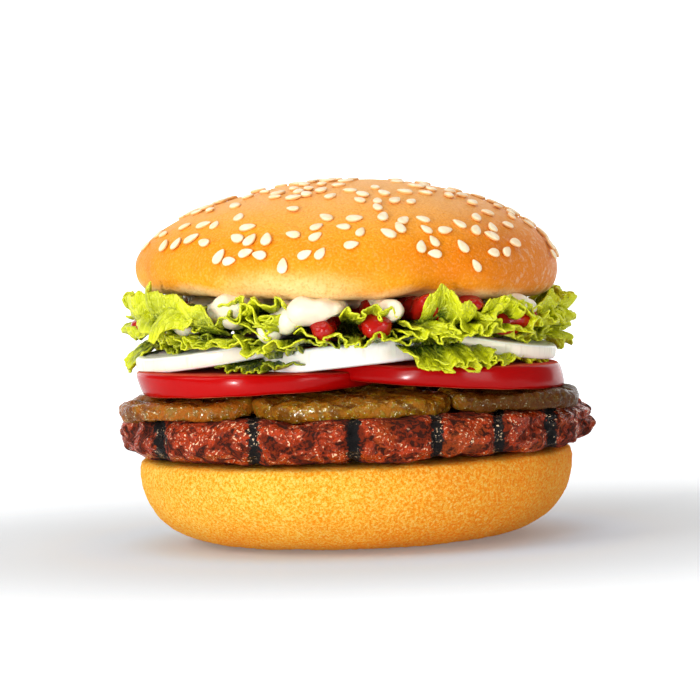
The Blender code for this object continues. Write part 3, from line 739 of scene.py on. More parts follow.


# Lettuce

# The ruffled sheets that make up each leaf: first and last angle, (radius, height) in millimetres
# of base, bend and margin, the number of folds, how steeply the folds and the frills swing in
# radians, a phase and how pale the sheet is (below 0 for inner sheets darkened as painted shade),
# and then the places where the margin reaches further, as (share of the way along, half width,
# outwards, upwards)
LEAVES = {
    "lettuce_low_left": (
        (-122, -64, (38, 48.4), (49, 49), (51.5, 46.5), 8.5, 1.5, 0.9, 0.4, 0.2),
        (-120, -72, (38, 46), (48, 45.5), (52, 40.8), 7, 1.3, 0.9, 2.2, 0.1, (0.80, 0.14, 0, -4.5)),
        (-118, -62, (38, 50.5), (44, 51), (50, 52.5), 8, 1.5, 0.9, 5, 0.1),
        (-130, -55, (31, 55), (33, 51), (37, 45.5), 7, 1, 0.7, 1.3, -0.3),
    ),
    "lettuce_low_front_left": (
        (-66, -27, (38, 46), (46, 46.8), (50.6, 47.6), 5.2, 1.5, 1, 2.1, 0.1, (0, 0.5, 0, -3)),
        (-66, -22, (38, 44), (44, 46), (48.6, 47.9), 7, 1.1, 0.9, 3.7, -0.2, (0, 0.45, 0, -4)),
        (-54, -22, (38, 49), (46, 49.8), (50.2, 51), 4.6, 1.6, 1, 4.1, 0),
    ),
    "lettuce_fold_front_left": (
        (-34, -13, (37, 50), (46, 50.5), (51.5, 52.8), 3.2, 1.7, 1, 4.4, 0),
        (-32, -12, (37, 46.6), (46, 47), (51.6, 47.8), 3.3, 1.6, 1, 1.1, 0, (0.28, 0.14, 0, -3)),
        (-54, -14, (30, 42), (40, 41.6), (46, 41.6), 7, 1, 0.9, 0.3, -0.2),
        (-36, -13, (20, 43.4), (36, 43.6), (46.5, 44.6), 4.6, 1.6, 1, 2.7, -0.2),
    ),
    "lettuce_low_front": (
        (-15, 16, (37, 48), (46, 48.2), (51, 49.2), 4.4, 1.7, 1, 0.9, 0),
        (-14, 20, (38, 46.3), (44, 46.8), (48, 47.4), 5.2, 1.2, 0.9, 3.9, -0.2),
        (-62, 62, (32, 54.5), (35, 51), (42, 46.8), 11, 1.2, 0.8, 4.6, -0.3),
    ),
    "lettuce_low_front_right": (
        (12, 42, (37, 49.2), (46, 50.2), (52, 49), 4.2, 1.6, 1, 4, 0.45),
        (13, 40, (38, 46.2), (46, 46), (51.8, 44.4), 4.4, 1.4, 1.1, 1.3, 0.2, (0.3, 0.2, 0, -1)),
        (22, 50, (38, 43.8), (46, 43.8), (50.4, 42.2), 5, 1.1, 1.1, 5.5, 0.1),
    ),
    "lettuce_low_right": (
        (38, 80, (37, 50.6), (46, 51.4), (50.5, 51.6), 5.8, 1.5, 1, 1.2, 0.4),
        (36, 78, (38, 48.6), (43, 49.2), (47.5, 48.8), 6.5, 1.1, 0.9, 0.4, -0.2),
        (40, 74, (38, 43.8), (43, 43.9), (48.2, 43.4), 6, 0.9, 0.9, 2.9, -0.1),
    ),
    "lettuce_low_right_end": (
        (76, 122, (37, 48), (47, 48.6), (50, 45), 7, 1.4, 1, 2.6, 0.55),
        (72, 120, (37, 50), (45, 50.4), (49.5, 51.2), 7, 1.5, 1, 0.1, 0.1),
    ),
    "lettuce_low_back_right": (
        (120, 178, (37, 47.8), (47, 49), (51.5, 45.5), 9, 1.5, 1, 0.2, 0.2),
        (122, 176, (38, 50.5), (46, 51), (51, 51.5), 8.5, 1.5, 0.9, 1.9, 0.1),
    ),
    "lettuce_low_back_left": (
        (176, 240, (37, 47.8), (47, 49), (51.5, 45), 9.5, 1.5, 1, 3.1, 0.2),
        (196, 262, (38, 50.5), (46, 51.5), (51, 53), 9.5, 1.5, 0.9, 0.7, 0.1),
    ),
    "lettuce_high_left": (
        (-74, -36, (42, 47.5), (53, 48.5), (51.6, 56.2), 3.4, 1.1, 0.6, 1.7, 0.45,
         (0, 0.12, 0, -2), (0.5, 0.15, 0, 1.2), (1, 0.14, 0.6, -2.5)),
        (-66, -42, (44, 53.5), (52, 54.5), (53, 47.5), 2.2, 1.2, 0.6, 0.6, 0.5,
         (0.6, 0.2, 0, -1.5)),
        (-104, -66, (40, 48.5), (50, 49.5), (50.4, 55.5), 4.6, 1.3, 0.8, 3.9, 0.3),
    ),
    "lettuce_high_front_left": (
        (-36, -13, (37, 52), (46, 52), (50.8, 54.8), 3.4, 1.8, 1, 5.2, 0.1),
        (-30, -12, (37, 52.4), (46, 51.6), (50.8, 50.2), 3, 1.7, 1, 1.9, 0),
    ),
    "lettuce_high_front": (
        (-3, 13, (37, 51), (46, 51), (51.2, 53.6), 2.8, 1.9, 1, 0.9, 0.1),
    ),
    "lettuce_high_front_right": (
        (13, 40, (37, 51.2), (46, 51), (51.4, 51.8), 4, 1.8, 1.1, 3.6, 0.3),
        (18, 33, (39, 50.5), (51.5, 50), (51.6, 57.6), 1.7, 1.2, 0.8, 5.1, 0.3, (0.35, 0.22, 0, 2)),
        (33, 62, (38, 52.2), (46, 52), (50.8, 53.4), 4.6, 1.9, 1.1, 2.1, 0.25),
        (36, 54, (39, 52), (49.5, 51), (50.6, 56.4), 2.6, 1.5, 0.9, 0.4, 0.2),
    ),
    "lettuce_high_right": (
        (60, 124, (37, 51.6), (47, 50.5), (49.8, 56.8), 7.5, 1.4, 0.9, 0.6, 0.6),
        (62, 96, (40, 49.5), (48.5, 49.5), (50.5, 52.5), 4.5, 1.6, 1.1, 3.3, 0.1),
        (55, 130, (31, 54.5), (33, 51), (38, 45.5), 7, 1, 0.7, 0.2, -0.3),
    ),
    "lettuce_high_back": (
        (124, 226, (37, 51.6), (47, 50.5), (50.5, 55.5), 13, 1.5, 0.9, 2.2, 0.3),
        (120, 240, (31, 54.5), (34, 51), (40, 46), 11, 1.1, 0.8, 5.7, -0.3),
    ),
}
LEAF_CELL = 0.44 * MM
LEAF_FULLNESS = 2.2
FRILLS_PER_FOLD = 2.3
CRIMPS_PER_FOLD = 6.3
FRILL_LIMIT = 3.4


def meander(sheet, columns, v):
    """How one row of the sheet swings, as (share of the way along, aside in millimetres). Each row
    is as long as its swings make it, so the margin is drawn up into loops and the base is not."""
    first, last, base, bend, margin, folds, swing, frill, phase, pale, *tongues = sheet
    length = math.radians(last - first) * margin[0]
    fine = frill * smooth(0.25, 1.0, v)
    finest = 0.6 * frill * smooth(0.62, 1.0, v)
    along, aside = [0.0], [0.0]
    for column in range(columns):
        u = (column + 0.5) / columns
        ends = math.sin(math.pi * u) ** 0.5
        drift = noise.noise(Vector((2.3 * folds * u, phase, 0)))
        calm = 0.5 + 0.9 * smooth(-0.35, 0.35, noise.noise(Vector((1.4 * folds * u, phase, 5))))
        wave = math.tau * folds * u + phase + 1.8 * drift
        heading = swing * v**1.1 * math.sin(wave)
        heading += fine * calm * math.sin(FRILLS_PER_FOLD * wave + 3.0 * drift + 2 * phase)
        heading += finest * calm * math.sin(CRIMPS_PER_FOLD * wave + 5.0 * drift)
        along.append(along[-1] + math.cos(heading * ends))
        aside.append(aside[-1] + math.sin(heading * ends))
    lean = aside[-1] / columns
    scale = length / along[-1]
    return [
        (x / along[-1], FRILL_LIMIT * math.tanh(scale * (y - lean * i) / FRILL_LIMIT))
        for i, (x, y) in enumerate(zip(along, aside))
    ]


def leaf_point(sheet, u, v, share, aside):
    """A point of the sheet, u along the cut leaf and v from its base to its margin, which swings
    to that share of the way and so far aside."""
    first, last, base, bend, margin, folds, swing, frill, phase, pale, *tongues = sheet
    ends = math.sin(math.pi * min(max(u, 0.0), 1.0)) ** 0.4
    teeth = noise.noise(Vector((24 * folds * u, 7 * phase, 0)))
    lobes = noise.noise(Vector((3 * folds * u, 3 * phase, 0)))
    out, up = margin
    for at, width, further, higher in tongues:
        near = math.exp(-(((share - at) / width) ** 2))
        out += further * near
        up += higher * near
    reach = v * (0.76 + 0.24 * ends)
    reach += smooth(0.6, 1.0, v) * (0.17 * lobes + 0.035 * (1 - pale) * teeth)
    a, b, c = (1 - reach) ** 2, 2 * reach * (1 - reach), reach**2
    radius = a * base[0] + b * bend[0] + c * out
    height = a * base[1] + b * bend[1] + c * up
    run = Vector((bend[0] - base[0], bend[1] - base[1])) * (1 - reach)
    run += Vector((out - bend[0], up - bend[1])) * reach
    across = Vector((-run.y, run.x)).normalized()
    aside += 0.45 * noise.noise(Vector((6 * folds * u, phase, 5 * v)))
    aside += 0.22 * noise.noise(Vector((16 * folds * u, phase, 12 * v)))
    radius += across.x * aside
    height += across.y * aside
    angle = math.radians(first + (last - first) * share)
    height -= math.tan(CROWN_TILT) * radius * math.sin(angle)
    return polar(angle, radius, height) * MM


def lettuce_finish(colours):
    finish = Finish(
        "lettuce", 0.34, Subsurface_Weight=0.3, Subsurface_Scale=1.0 * MM,
        Subsurface_Radius=(1.0, 1.0, 0.1), Specular_IOR_Level=0.35,
    )
    rim = finish.painted("rim")
    where = finish.node("ShaderNodeUVMap", {"uv_map": "leaf"})
    veins = finish.cell_edges(5.5 * MM, where)
    small_veins = finish.cell_edges(1.9 * MM, where)
    cloud = finish.mottle(7 * MM, 3)
    right = finish.axis(0).rise(5 * MM, 30 * MM)
    # Painted shade and light: the leaf darkens from its margin towards its base, deep in the burger,
    # and is painted lighter towards the right.
    tone = (rim + (cloud - 0.5) * 0.6 + right * 0.16).rise(0.58, 1.06)
    green = finish.blend(colours.leaf_dark, colours.leaf, tone)
    vein = veins.fall(0.0, 0.10) * 0.45 + small_veins.fall(0.0, 0.12) * 0.15
    veined = finish.blend(green, colours.leaf_vein, vein.least(0.6) * rim.rise(0.2, 0.6))
    # Painted highlight: a thin light line along the leaf's margin.
    finish.set("Base Color", finish.blend(veined, colours.leaf_vein, rim.rise(0.97, 1.0) * 0.12))
    finish.relief(small_veins.rise(0, 0.25) + veins.rise(0, 0.3), 0.30 * MM, 0.7)
    return finish


def make_sheet(name, sheet):
    """A ruffled sheet with its own map along and across it, and how light it is painted at each
    point: darker towards its base as painted shade.
    """
    first, last, base, bend, margin = sheet[:5]
    pale = sheet[9]
    length = math.radians(last - first) * margin[0] * MM
    width = (math.dist(base, bend) + math.dist(bend, margin)) * 0.95 * MM
    columns, rows = round(LEAF_FULLNESS * length / LEAF_CELL), round(width / LEAF_CELL)
    deselect_all()
    bpy.ops.mesh.primitive_grid_add(x_subdivisions=columns, y_subdivisions=rows, size=1)
    piece = named(name)
    layer = piece.data.uv_layers[0]
    layer.name = "leaf"
    for loop, corner in zip(piece.data.loops, layer.data):
        place = piece.data.vertices[loop.vertex_index].co
        corner.uv = (place.x * LEAF_FULLNESS * length, place.y * width)
    # The rim value is painted light and shade: dark at the sheet's base, light at its margin.
    dark, light = (pale, 1) if pale > 0 else (0, 1 + pale)
    paint(piece, "rim", lambda at: dark + (light - dark) * (at.y + 0.5))
    swings = [meander(sheet, columns, row / rows) for row in range(rows + 1)]
    for vert in piece.data.vertices:
        u, v = vert.co.x + 0.5, vert.co.y + 0.5
        vert.co = leaf_point(sheet, u, v, *swings[round(v * rows)][round(u * columns)])
    return piece


def make_lettuce(context):
    finish = lettuce_finish(context.scene.burger_colours)
    thickness = context.scene.burger_sizes.leaf_thickness
    for name, sheets in LEAVES.items():
        leaf = joined([make_sheet(name + "_leaf", sheet) for sheet in sheets])
        apply_modifier(leaf, "SOLIDIFY", thickness=thickness, offset=0)
        serve(leaf, "lettuce", finish, name)


# Sauces

# The runs of each sauce: angle from the front, reach and height of the tip, half width and half
# thickness, in degrees and millimetres
MAYO_RUNS = (
    (-36, 49.6, 52.6, 7.0, 3.9), (-8, 50.2, 53.6, 7.2, 3.7), (-21, 48.6, 48.8, 2.0, 2.8),
    (-16, 48.5, 52.0, 4.5, 3.0), (12.5, 49.4, 53.6, 3.8, 2.8), (56, 49.6, 54.2, 6.5, 2.9),
    (-63, 50.0, 49.6, 4.0, 2.4), (-50, 48.0, 49.0, 4.0, 3.0), (130, 47.5, 53.5, 6.5, 3.2),
    (-132, 48.0, 53.5, 6.5, 3.4),
)
KETCHUP_RUNS = (
    (8, 50.2, 49.6, 4.0, 3.6), (-6, 49.8, 49.4, 3.4, 3.2), (22.5, 49.8, 54.6, 3.6, 3.6),
    (36, 50.2, 55.0, 5.2, 2.8), (56, 50.0, 50.8, 7.5, 3.8), (-73, 50.6, 48.6, 5.0, 2.4),
    (29, 48.5, 52.0, 5.0, 3.0), (132, 48.5, 51.0, 6.0, 3.2), (-129, 48.5, 51.0, 5.5, 2.8),
)
SAUCE_RADIUS = 37.0 * MM
RUN_ROOT = 30.0
MAYO_HEIGHT = 54.7 * MM
KETCHUP_HEIGHT = 53.0 * MM
POOL_OUTLINE = (
    (0, 0.6), (0.9, 0.6), (0.98, 0.35), (1.0, 0.0), (0.98, -0.35), (0.9, -0.6), (0, -0.6),
)
SAUCE_CELL = 0.45 * MM


def sauce_finish(name, colour, deep, roughness, specular):
    finish = Finish(
        name, roughness, Subsurface_Weight=0.2, Subsurface_Scale=2 * MM,
        Specular_IOR_Level=specular,
    )
    cloud = finish.mottle(5 * MM, 3, 0.5, 0.5)
    finish.set("Base Color", finish.blend(colour, deep, cloud.rise(0.4, 0.75) * 0.6))
    finish.relief(finish.mottle(2.4 * MM, 2), 0.4 * MM, 0.3)
    return finish


def model_run(root_height, angle, reach, height, half_width, half_thickness):
    """A rounded tongue of sauce from the pool's edge to a tip, fuller towards its tip."""
    deselect_all()
    bpy.ops.mesh.primitive_uv_sphere_add(segments=32, ring_count=20, radius=1)
    run = named("run")
    root, tip = Vector((RUN_ROOT * MM, root_height)), Vector((reach * MM, height * MM))
    half_length = (tip - root).length / 2
    slope = math.atan2(tip.y - root.y, tip.x - root.x)
    middle = (root + tip) / 2
    turn = math.radians(angle - 90)
    place = Matrix.Translation(polar(math.radians(angle), middle.x, middle.y))
    place @= Matrix.Rotation(turn, 4, "Z") @ Matrix.Rotation(-slope, 4, "Y")
    for vert in run.data.vertices:
        along = vert.co.x
        fuller = math.sqrt(1 + along**2) * (0.85 + 0.15 * along)
        across, up = vert.co.y * half_width * MM * fuller, vert.co.z * half_thickness * MM * fuller
        vert.co = place @ Vector((along * half_length, across, up))
    return run


def make_sauce(name, runs, middle):
    """A pool under the crown and its runs, fused into one skin."""
    outline = [(radius * SAUCE_RADIUS, middle + side * MM) for radius, side in POOL_OUTLINE]
    pool = spun(name, outline, 64, 1)

    def shape(angle, radius, height):
        return polar(angle, radius * (1 + 0.03 * wobble(angle, 3.3)), height)

    reshape(pool, shape)
    joined([pool] + [model_run(middle, *run) for run in runs])
    apply_modifier(pool, "REMESH", mode="VOXEL", voxel_size=SAUCE_CELL)
    apply_modifier(pool, "SMOOTH", factor=0.5, iterations=8)
    pool.data.transform(crown_place())
    pool.data.update()
    roughen(pool, ((9 * MM, 2.2 * MM), (4 * MM, 1.0 * MM), (1.8 * MM, 0.2 * MM)))
    return pool


def make_sauces(context):
    colours = context.scene.burger_colours
    mayo = make_sauce("mayonnaise_pool", MAYO_RUNS, MAYO_HEIGHT)
    ketchup = make_sauce("ketchup_pool", KETCHUP_RUNS, KETCHUP_HEIGHT)
    cream = sauce_finish("mayonnaise", colours.mayonnaise, colours.mayonnaise_deep, 0.3, 0.3)
    red = sauce_finish("ketchup", colours.ketchup, colours.ketchup_deep, 0.12, 0.35)
    serve(mayo, "mayonnaise", cream, "mayonnaise")
    serve(ketchup, "ketchup", red, "ketchup")


# The upper bun and its seeds

CROWN_OFFSET_X = -0.8 * MM
CROWN_CUT_HEIGHT = 55.7 * MM
CROWN_WIDEST_HEIGHT = 61.8 * MM
CROWN_TOP_HEIGHT = 82.3 * MM
CROWN_RISE = CROWN_TOP_HEIGHT - CROWN_WIDEST_HEIGHT
CROWN_ROUNDNESS = 1.87
CROWN_TILT = math.radians(2.5)
CROWN_FOLDS = (
    (24, 9, 3.0), (61, 10, 0.9), (118, 13, 1.6), (171, 12, 2.2), (-152, 11, 1.2), (-108, 13, 1.8),
)
SEED_WIDTH = 2.3 * MM
SEED_THICKNESS = 1.15 * MM
SEED_LIFT = 0.22 * MM
SEED_SPACING = 3.0 * MM
SEED_DRAW = 11


def dome_curve(radius, turn):
    """How far out and how high the dome is, for a turn from 0 at its top to 90 degrees low down."""
    power = 2 / CROWN_ROUNDNESS
    height = CROWN_WIDEST_HEIGHT + CROWN_RISE * max(0.0, math.cos(turn)) ** power
    return radius * math.sin(turn) ** power, height


def crown_outline(radius):
    steps = (0, 8, 16, 25, 34, 43, 52, 61, 70, 80, 90)
    outline = [dome_curve(radius, math.radians(degrees)) for degrees in steps]
    under = ((0.985, 0.45), (0.945, 0.10), (0.88, 0.0), (0.5, 0.0), (0.0, 0.0))
    drop = CROWN_WIDEST_HEIGHT - CROWN_CUT_HEIGHT
    return outline + [(radius * share, CROWN_CUT_HEIGHT + lift * drop) for share, lift in under]


def crown_shape(sizes, angle, radius, height):
    """Bakes the crown unevenly: a wavy outline, and a rim that lifts where the dough folds."""
    fold = sum(lift * bump(angle, at, width) for at, width, lift in CROWN_FOLDS) * MM
    out = min(1.0, radius / sizes.crown_radius)
    low = min(1.0, max(0.0, (CROWN_WIDEST_HEIGHT + 6 * MM - height) / (12 * MM)))
    radius *= 1 + 0.010 * out * wobble(angle, 1.9)
    radius -= 0.35 * fold * out**4
    rise = max(0.0, height - CROWN_WIDEST_HEIGHT) / CROWN_RISE
    return polar(angle, radius, height + fold * low * out**5, sizes.crown_lean * rise**1.5)


def crown_place():
    """The crown leans to the right by a little, about the middle of its cut face."""
    pivot = Vector((CROWN_OFFSET_X, 0, CROWN_CUT_HEIGHT))
    tilt = Matrix.Rotation(CROWN_TILT, 4, "Y")
    return Matrix.Translation(pivot) @ tilt @ Matrix.Translation((0, 0, -CROWN_CUT_HEIGHT))


def crown_finish(colours):
    finish = Finish("crown crust", Specular_IOR_Level=0.1)
    height = finish.axis(2)
    across = finish.axis(0)
    cloud = finish.mottle(11 * MM, 4, 0.55, 0.4)
    fine = finish.mottle(0.55 * MM, 1, 0.5)
    flecks = finish.mottle(1.6 * MM, 4, 0.7)
    streak = finish.mottle(3.2 * MM, 4, 0.65, 0.8, where=finish.stretched(1, 1, 1.6))
    level = height + across * math.tan(CROWN_TILT) + (cloud - 0.5) * (5 * MM)
    front = across.rise(-32 * MM, -20 * MM) * across.fall(-8 * MM, 10 * MM)
    band = level.fall(57.5 * MM, 63 * MM) * front * (0.2 + streak * 0.9)
    pale = level.fall(56 * MM, 59 * MM).most(band).least(1)
    ring = level.rise(58 * MM, 63 * MM) * level.fall(65 * MM, 74 * MM)
    # Partly browned crust, partly painted shade: the ring and the clouds are the crust's own, and the
    # right side, away from the key light, is darkened as painted shade.
    deep = ring * 0.5 + across.rise(2 * MM, 40 * MM) * 0.75 + (cloud - 0.5) * 0.9
    golden = finish.blend(colours.crust, colours.crust_deep, deep.most(0).least(1) * 0.9)
    # Painted highlight: the crust turns paler towards the top of the dome, as the overhead light's
    # sheen.
    toasted = finish.blend(golden, colours.crust_top, level.rise(68 * MM, 81 * MM) * 0.75)
    low = finish.blend(toasted, colours.crust_pale, pale * 0.8)
    worn = flecks.rise(0.50, 0.66) * across.rise(26 * MM, 48 * MM) * 0.8
    floury = finish.blend(low, colours.crust_worn, worn)
    speckled = finish.blend(floury, colours.crust_deep, fine.rise(0.50, 0.75) * 0.4)
    grains = fine.fall(0.28, 0.5) * 0.10
    finish.set("Base Color", finish.blend(speckled, colours.crust_pale, grains))
    finish.relief(fine * 0.5 + flecks * 0.6 + streak, 0.6 * MM, 0.55)
    return finish


def dome_point(sizes, angle, share):
    """A point of the untilted dome and its normal, share 0 at the top and 1 where widest."""

    def at(angle, share):
        return crown_shape(sizes, angle, *dome_curve(sizes.crown_radius, share * math.pi / 2))

    here, step = at(angle, share), 0.01
    along = at(angle, share + step) - at(angle, share - step)
    around = at(angle + step, share) - at(angle - step, share)
    return here, along.cross(around).normalized()


def seed_places(sizes):
    """Where the seeds lie on the untilted dome: (point, normal, turn, size) by seeded draws that
    keep clear of each other, gather in clusters and thin out towards the rim."""
    draw = random.Random(SEED_DRAW)
    found = []
    while len(found) < sizes.seed_count:
        angle = draw.uniform(-math.pi, math.pi)
        share = math.sqrt(draw.uniform(0.004, 0.93))
        turn, size = draw.uniform(0, math.pi), draw.uniform(0.86, 1.10)
        if draw.random() < 0.75 * max(0.0, share - 0.62) / 0.3:
            continue
        point, normal = dome_point(sizes, angle, share)
        if noise.noise(point / (9 * MM)) < draw.uniform(-0.4, 0.35):
            continue
        if all((point - other[0]).length > SEED_SPACING for other in found):
            found.append((point, normal, turn, size))
    return found


def seed_finish(colours):
    finish = Finish("sesame seed", 0.42, Specular_IOR_Level=0.35)
    rim = finish.painted("rim")
    cloud = finish.mottle(2.2 * MM, 2)
    face = finish.blend(colours.seed, colours.seed_toasted, cloud.rise(0.40, 0.70) * 0.6)
    # Partly browned, partly painted shadow: each seed darkens on its lower side, next to the crust.
    finish.set("Base Color", finish.blend(face, colours.seed_rim, rim.fall(0.12, 0.42) * 0.8))
    finish.relief(finish.mottle(0.5 * MM, 2), 0.15 * MM, 0.5)
    return finish


def model_seed(length):
    """One teardrop seed at the origin, lying along X with its point at +X, with a hollow face."""
    deselect_all()
    bpy.ops.mesh.primitive_uv_sphere_add(segments=14, ring_count=9, radius=1)
    seed = named("seed_model")
    paint(seed, "rim", lambda at: max(at.z, 0))
    for vert in seed.data.vertices:
        taper = 1 - 0.34 * vert.co.x - 0.10 * vert.co.x**2
        flat = vert.co.z * (1 - 0.25 * max(vert.co.z, 0) ** 4)
        vert.co.x *= length / 2
        vert.co.y *= SEED_WIDTH / 2 * taper
        vert.co.z = SEED_THICKNESS / 2 * (0.6 + 0.4 * taper) * flat
    return seed


def strew_seeds(sizes, finish):
    """Copies the seed to its places on the dome and joins the copies."""
    model = model_seed(sizes.seed_length)
    whole = bmesh.new()
    for point, normal, turn, size in seed_places(sizes):
        lie = normal.to_track_quat("Z", "Y").to_matrix().to_4x4() @ Matrix.Rotation(turn, 4, "Z")
        place = crown_place() @ Matrix.Translation(point + normal * SEED_LIFT)
        place = place @ lie @ Matrix.Scale(size, 4)
        seed = model.data.copy()
        seed.transform(place)
        whole.from_mesh(seed)
        bpy.data.meshes.remove(seed)
    whole.to_mesh(model.data)
    whole.free()
    model.name = "sesame_seeds"
    model.data.name = "sesame_seeds"
    serve(model, "bun", finish)


def make_crown(context):
    sizes = context.scene.burger_sizes
    colours = context.scene.burger_colours
    crown = spun("upper_bun", crown_outline(sizes.crown_radius), 48, 3)

    def shape(angle, radius, height):
        return crown_shape(sizes, angle, radius, height)

    reshape(crown, shape, crown_place())
    roughen(crown, ((16 * MM, 0.5 * MM), (5 * MM, 0.12 * MM)))
    serve(crown, "bun", crown_finish(colours), "bun_crown")
    strew_seeds(sizes, seed_finish(colours))


# The stage

PIXEL = 0.23 * MM
FRAME_PIXELS = 700
CAMERA_DISTANCE = 0.8
CAMERA_HEIGHT = 82.8 * MM
CAMERA_ROLL = math.radians(2)
MIDDLE_PIXEL_X = 357.0
MIDDLE_PIXEL_HEIGHT = 10 * MM
FLOOR_PIXEL_Y = 536.6
SENSOR = 36.0
LIT_HEIGHT = 45 * MM
FLOOR_UNDER_BUN = (0.58, 0.67, 0.77)
FLOOR_OUTSIDE = (0.64, 0.655, 0.67)


def add_camera(context):
    """A long lens nearly level with the top of the bun; the picture's right side is a bit high."""
    above = (CAMERA_HEIGHT - MIDDLE_PIXEL_HEIGHT) / PIXEL
    horizon_x = MIDDLE_PIXEL_X - above * math.sin(CAMERA_ROLL)
    horizon_y = FLOOR_PIXEL_Y - CAMERA_HEIGHT / PIXEL
    bpy.ops.object.camera_add()
    camera = context.object
    place = Matrix.Translation((0, -CAMERA_DISTANCE, CAMERA_HEIGHT))
    place @= Matrix.Rotation(math.pi / 2, 4, "X") @ Matrix.Rotation(-CAMERA_ROLL, 4, "Z")
    camera.matrix_world = place
    camera.data.sensor_width = SENSOR
    camera.data.lens = SENSOR * CAMERA_DISTANCE / (FRAME_PIXELS * PIXEL)
    camera.data.shift_x = (FRAME_PIXELS / 2 - horizon_x) / FRAME_PIXELS
    camera.data.shift_y = (horizon_y - FRAME_PIXELS / 2) / FRAME_PIXELS
    context.scene.camera = camera


def add_light(name, azimuth, elevation, distance, width, height, power):
    """A soft box that faces the burger, at an azimuth from the front that grows to the right."""
    turn, lift = math.radians(azimuth), math.radians(elevation)
    place = polar(turn, distance * math.cos(lift), distance * math.sin(lift) + LIT_HEIGHT)
    bpy.ops.object.light_add(type="AREA", location=place)
    light = bpy.context.object
    light.name = name
    light.data.shape = "RECTANGLE"
    light.data.size = width
    light.data.size_y = height
    light.data.energy = power
    aim = Vector((0, 0, LIT_HEIGHT)) - place
    light.rotation_euler = aim.to_track_quat("-Z", "Y").to_euler()


def make_floor():
    """A pale floor that glows white away from the burger, so that it meets the backdrop unseen; it
    glows less near the burger as a painted shadow, and is bluish under the bun to cancel the bun's
    warm bounce light.
    """
    bpy.ops.mesh.primitive_plane_add(size=12, location=(0, 3, 0))
    bpy.ops.object.transform_apply()
    finish = Finish("white floor", 0.9, Specular_IOR_Level=0.1, Emission_Strength=1.0)
    length = {"operation": "LENGTH"}
    near = finish.node("ShaderNodeVectorMath", length, {0: finish.place}, 1)
    far = finish.node("ShaderNodeVectorMath", length, {0: finish.stretched(0.75, 1, 1)}, 1)
    # Painted shadow: the floor glows less near the burger, in a band that reaches further to the
    # sides.
    glow = 0.13 + 0.40 * far.rise(0.045, 0.16) + 0.5 * far.rise(0.12, 0.8)
    # Painted colour against bounce light: under the bun the floor is bluish, to cancel the warm light
    # that the bun throws on it.
    under = near.rise(0.050, 0.072)
    finish.set("Base Color", finish.blend(FLOOR_UNDER_BUN, FLOOR_OUTSIDE, under))
    finish.set("Emission Color", finish.blend((0, 0, 0), (1, 1, 1), glow))
    floor = named("stage_floor")
    floor.data.materials.append(finish.material)
    return floor


def make_backdrop():
    bpy.ops.mesh.primitive_plane_add(size=12, location=(0, 5, 0), rotation=(math.pi / 2, 0, 0))
    finish = Finish("white backdrop", 0.9, Emission_Strength=1.1)
    finish.set("Emission Color", (1, 1, 1))
    backdrop = named("stage_backdrop")
    backdrop.data.materials.append(finish.material)
    return backdrop


def make_stage(context):
    deselect_all()
    make_floor()
    make_backdrop()
    world = context.scene.world or bpy.data.worlds.new("World")
    context.scene.world = world
    world.use_nodes = True
    world.node_tree.nodes["Background"].inputs["Color"].default_value = (1, 1, 1, 1)
    world.node_tree.nodes["Background"].inputs["Strength"].default_value = 0.2
    add_light("key", -25, 11, 1.0, 0.25, 0.40, 2.2)
    add_light("sparkle", -27, 0.0, 1.0, 0.06, 0.06, 4.0)
    add_light("side", -62, 30, 0.9, 0.45, 0.45, 2.4)
    add_light("overhead", -10, 80, 0.9, 0.7, 0.6, 3.2)
    add_light("fill", 38, 4, 1.1, 0.35, 0.35, 2.2)
    add_camera(context)
    context.scene.view_settings.view_transform = "Standard"


class BURGER_OT_lower_bun(Operator):
    """Model the lower bun half"""

    bl_idname = "burger.lower_bun"
    bl_label = "Lower bun"

    def execute(self, context):
        make_lower_bun(context)
        return {"FINISHED"}


class BURGER_OT_patty(Operator):
    """Model the grilled patty"""

    bl_idname = "burger.patty"
    bl_label = "Patty"

    def execute(self, context):
        make_patty(context)
        return {"FINISHED"}


class BURGER_OT_pickles(Operator):
    """Model the pickle slices"""

    bl_idname = "burger.pickles"
    bl_label = "Pickles"

    def execute(self, context):
        make_pickles(context)
        return {"FINISHED"}


class BURGER_OT_tomato_and_onion(Operator):
    """Model the tomato slices and the onion slices that lie on them"""

    bl_idname = "burger.tomato_and_onion"
    bl_label = "Tomato and onion"

    def execute(self, context):
        make_onions(context, make_tomatoes(context))
        return {"FINISHED"}


class BURGER_OT_lettuce(Operator):
    """Model the curled lettuce leaves"""

    bl_idname = "burger.lettuce"
    bl_label = "Lettuce"

    def execute(self, context):
        make_lettuce(context)
        return {"FINISHED"}


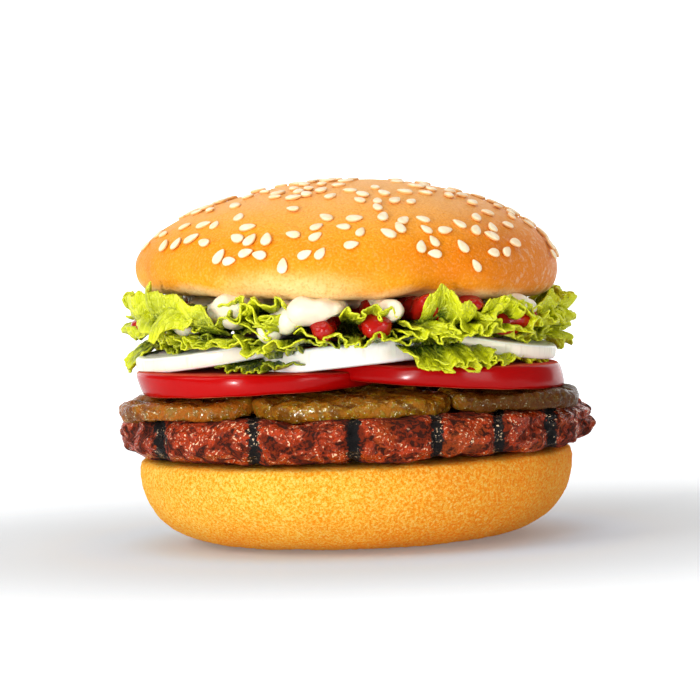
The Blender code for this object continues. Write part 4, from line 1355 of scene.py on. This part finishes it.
class BURGER_OT_sauces(Operator):
    """Model the ketchup and the mayonnaise"""

    bl_idname = "burger.sauces"
    bl_label = "Sauces"

    def execute(self, context):
        make_sauces(context)
        return {"FINISHED"}


class BURGER_OT_crown(Operator):
    """Model the upper bun half and strew its sesame seeds"""

    bl_idname = "burger.crown"
    bl_label = "Upper bun and seeds"

    def execute(self, context):
        make_crown(context)
        return {"FINISHED"}


class BURGER_OT_stage(Operator):
    """Set up the floor, the backdrop, the lights and the camera"""

    bl_idname = "burger.stage"
    bl_label = "Stage"

    def execute(self, context):
        make_stage(context)
        return {"FINISHED"}


STEPS = (
    BURGER_OT_lower_bun,
    BURGER_OT_patty,
    BURGER_OT_pickles,
    BURGER_OT_tomato_and_onion,
    BURGER_OT_lettuce,
    BURGER_OT_sauces,
    BURGER_OT_crown,
    BURGER_OT_stage,
)


class BURGER_PT_steps(Panel):
    """Lists the foods in the order in which they are stacked"""

    bl_idname = "BURGER_PT_steps"
    bl_label = "Sesame seed burger"
    bl_space_type = "VIEW_3D"
    bl_region_type = "UI"
    bl_category = "Burger"

    def draw(self, context):
        for step in STEPS:
            self.layout.operator(step.bl_idname)
        for group in (context.scene.burger_sizes, context.scene.burger_colours):
            for name in group.__annotations__:
                self.layout.prop(group, name)


CLASSES = (BurgerSizes, BurgerColours, *STEPS, BURGER_PT_steps)


def register():
    for cls in CLASSES:
        bpy.utils.register_class(cls)
    bpy.types.Scene.burger_sizes = PointerProperty(type=BurgerSizes)
    bpy.types.Scene.burger_colours = PointerProperty(type=BurgerColours)


def unregister():
    del bpy.types.Scene.burger_colours
    del bpy.types.Scene.burger_sizes
    for cls in reversed(CLASSES):
        bpy.utils.unregister_class(cls)


def main():
    register()
    bpy.ops.burger.lower_bun()
    bpy.ops.burger.patty()
    bpy.ops.burger.pickles()
    bpy.ops.burger.tomato_and_onion()
    bpy.ops.burger.lettuce()
    bpy.ops.burger.sauces()
    bpy.ops.burger.crown()
    bpy.ops.burger.stage()


if __name__ == "__main__":
    main()
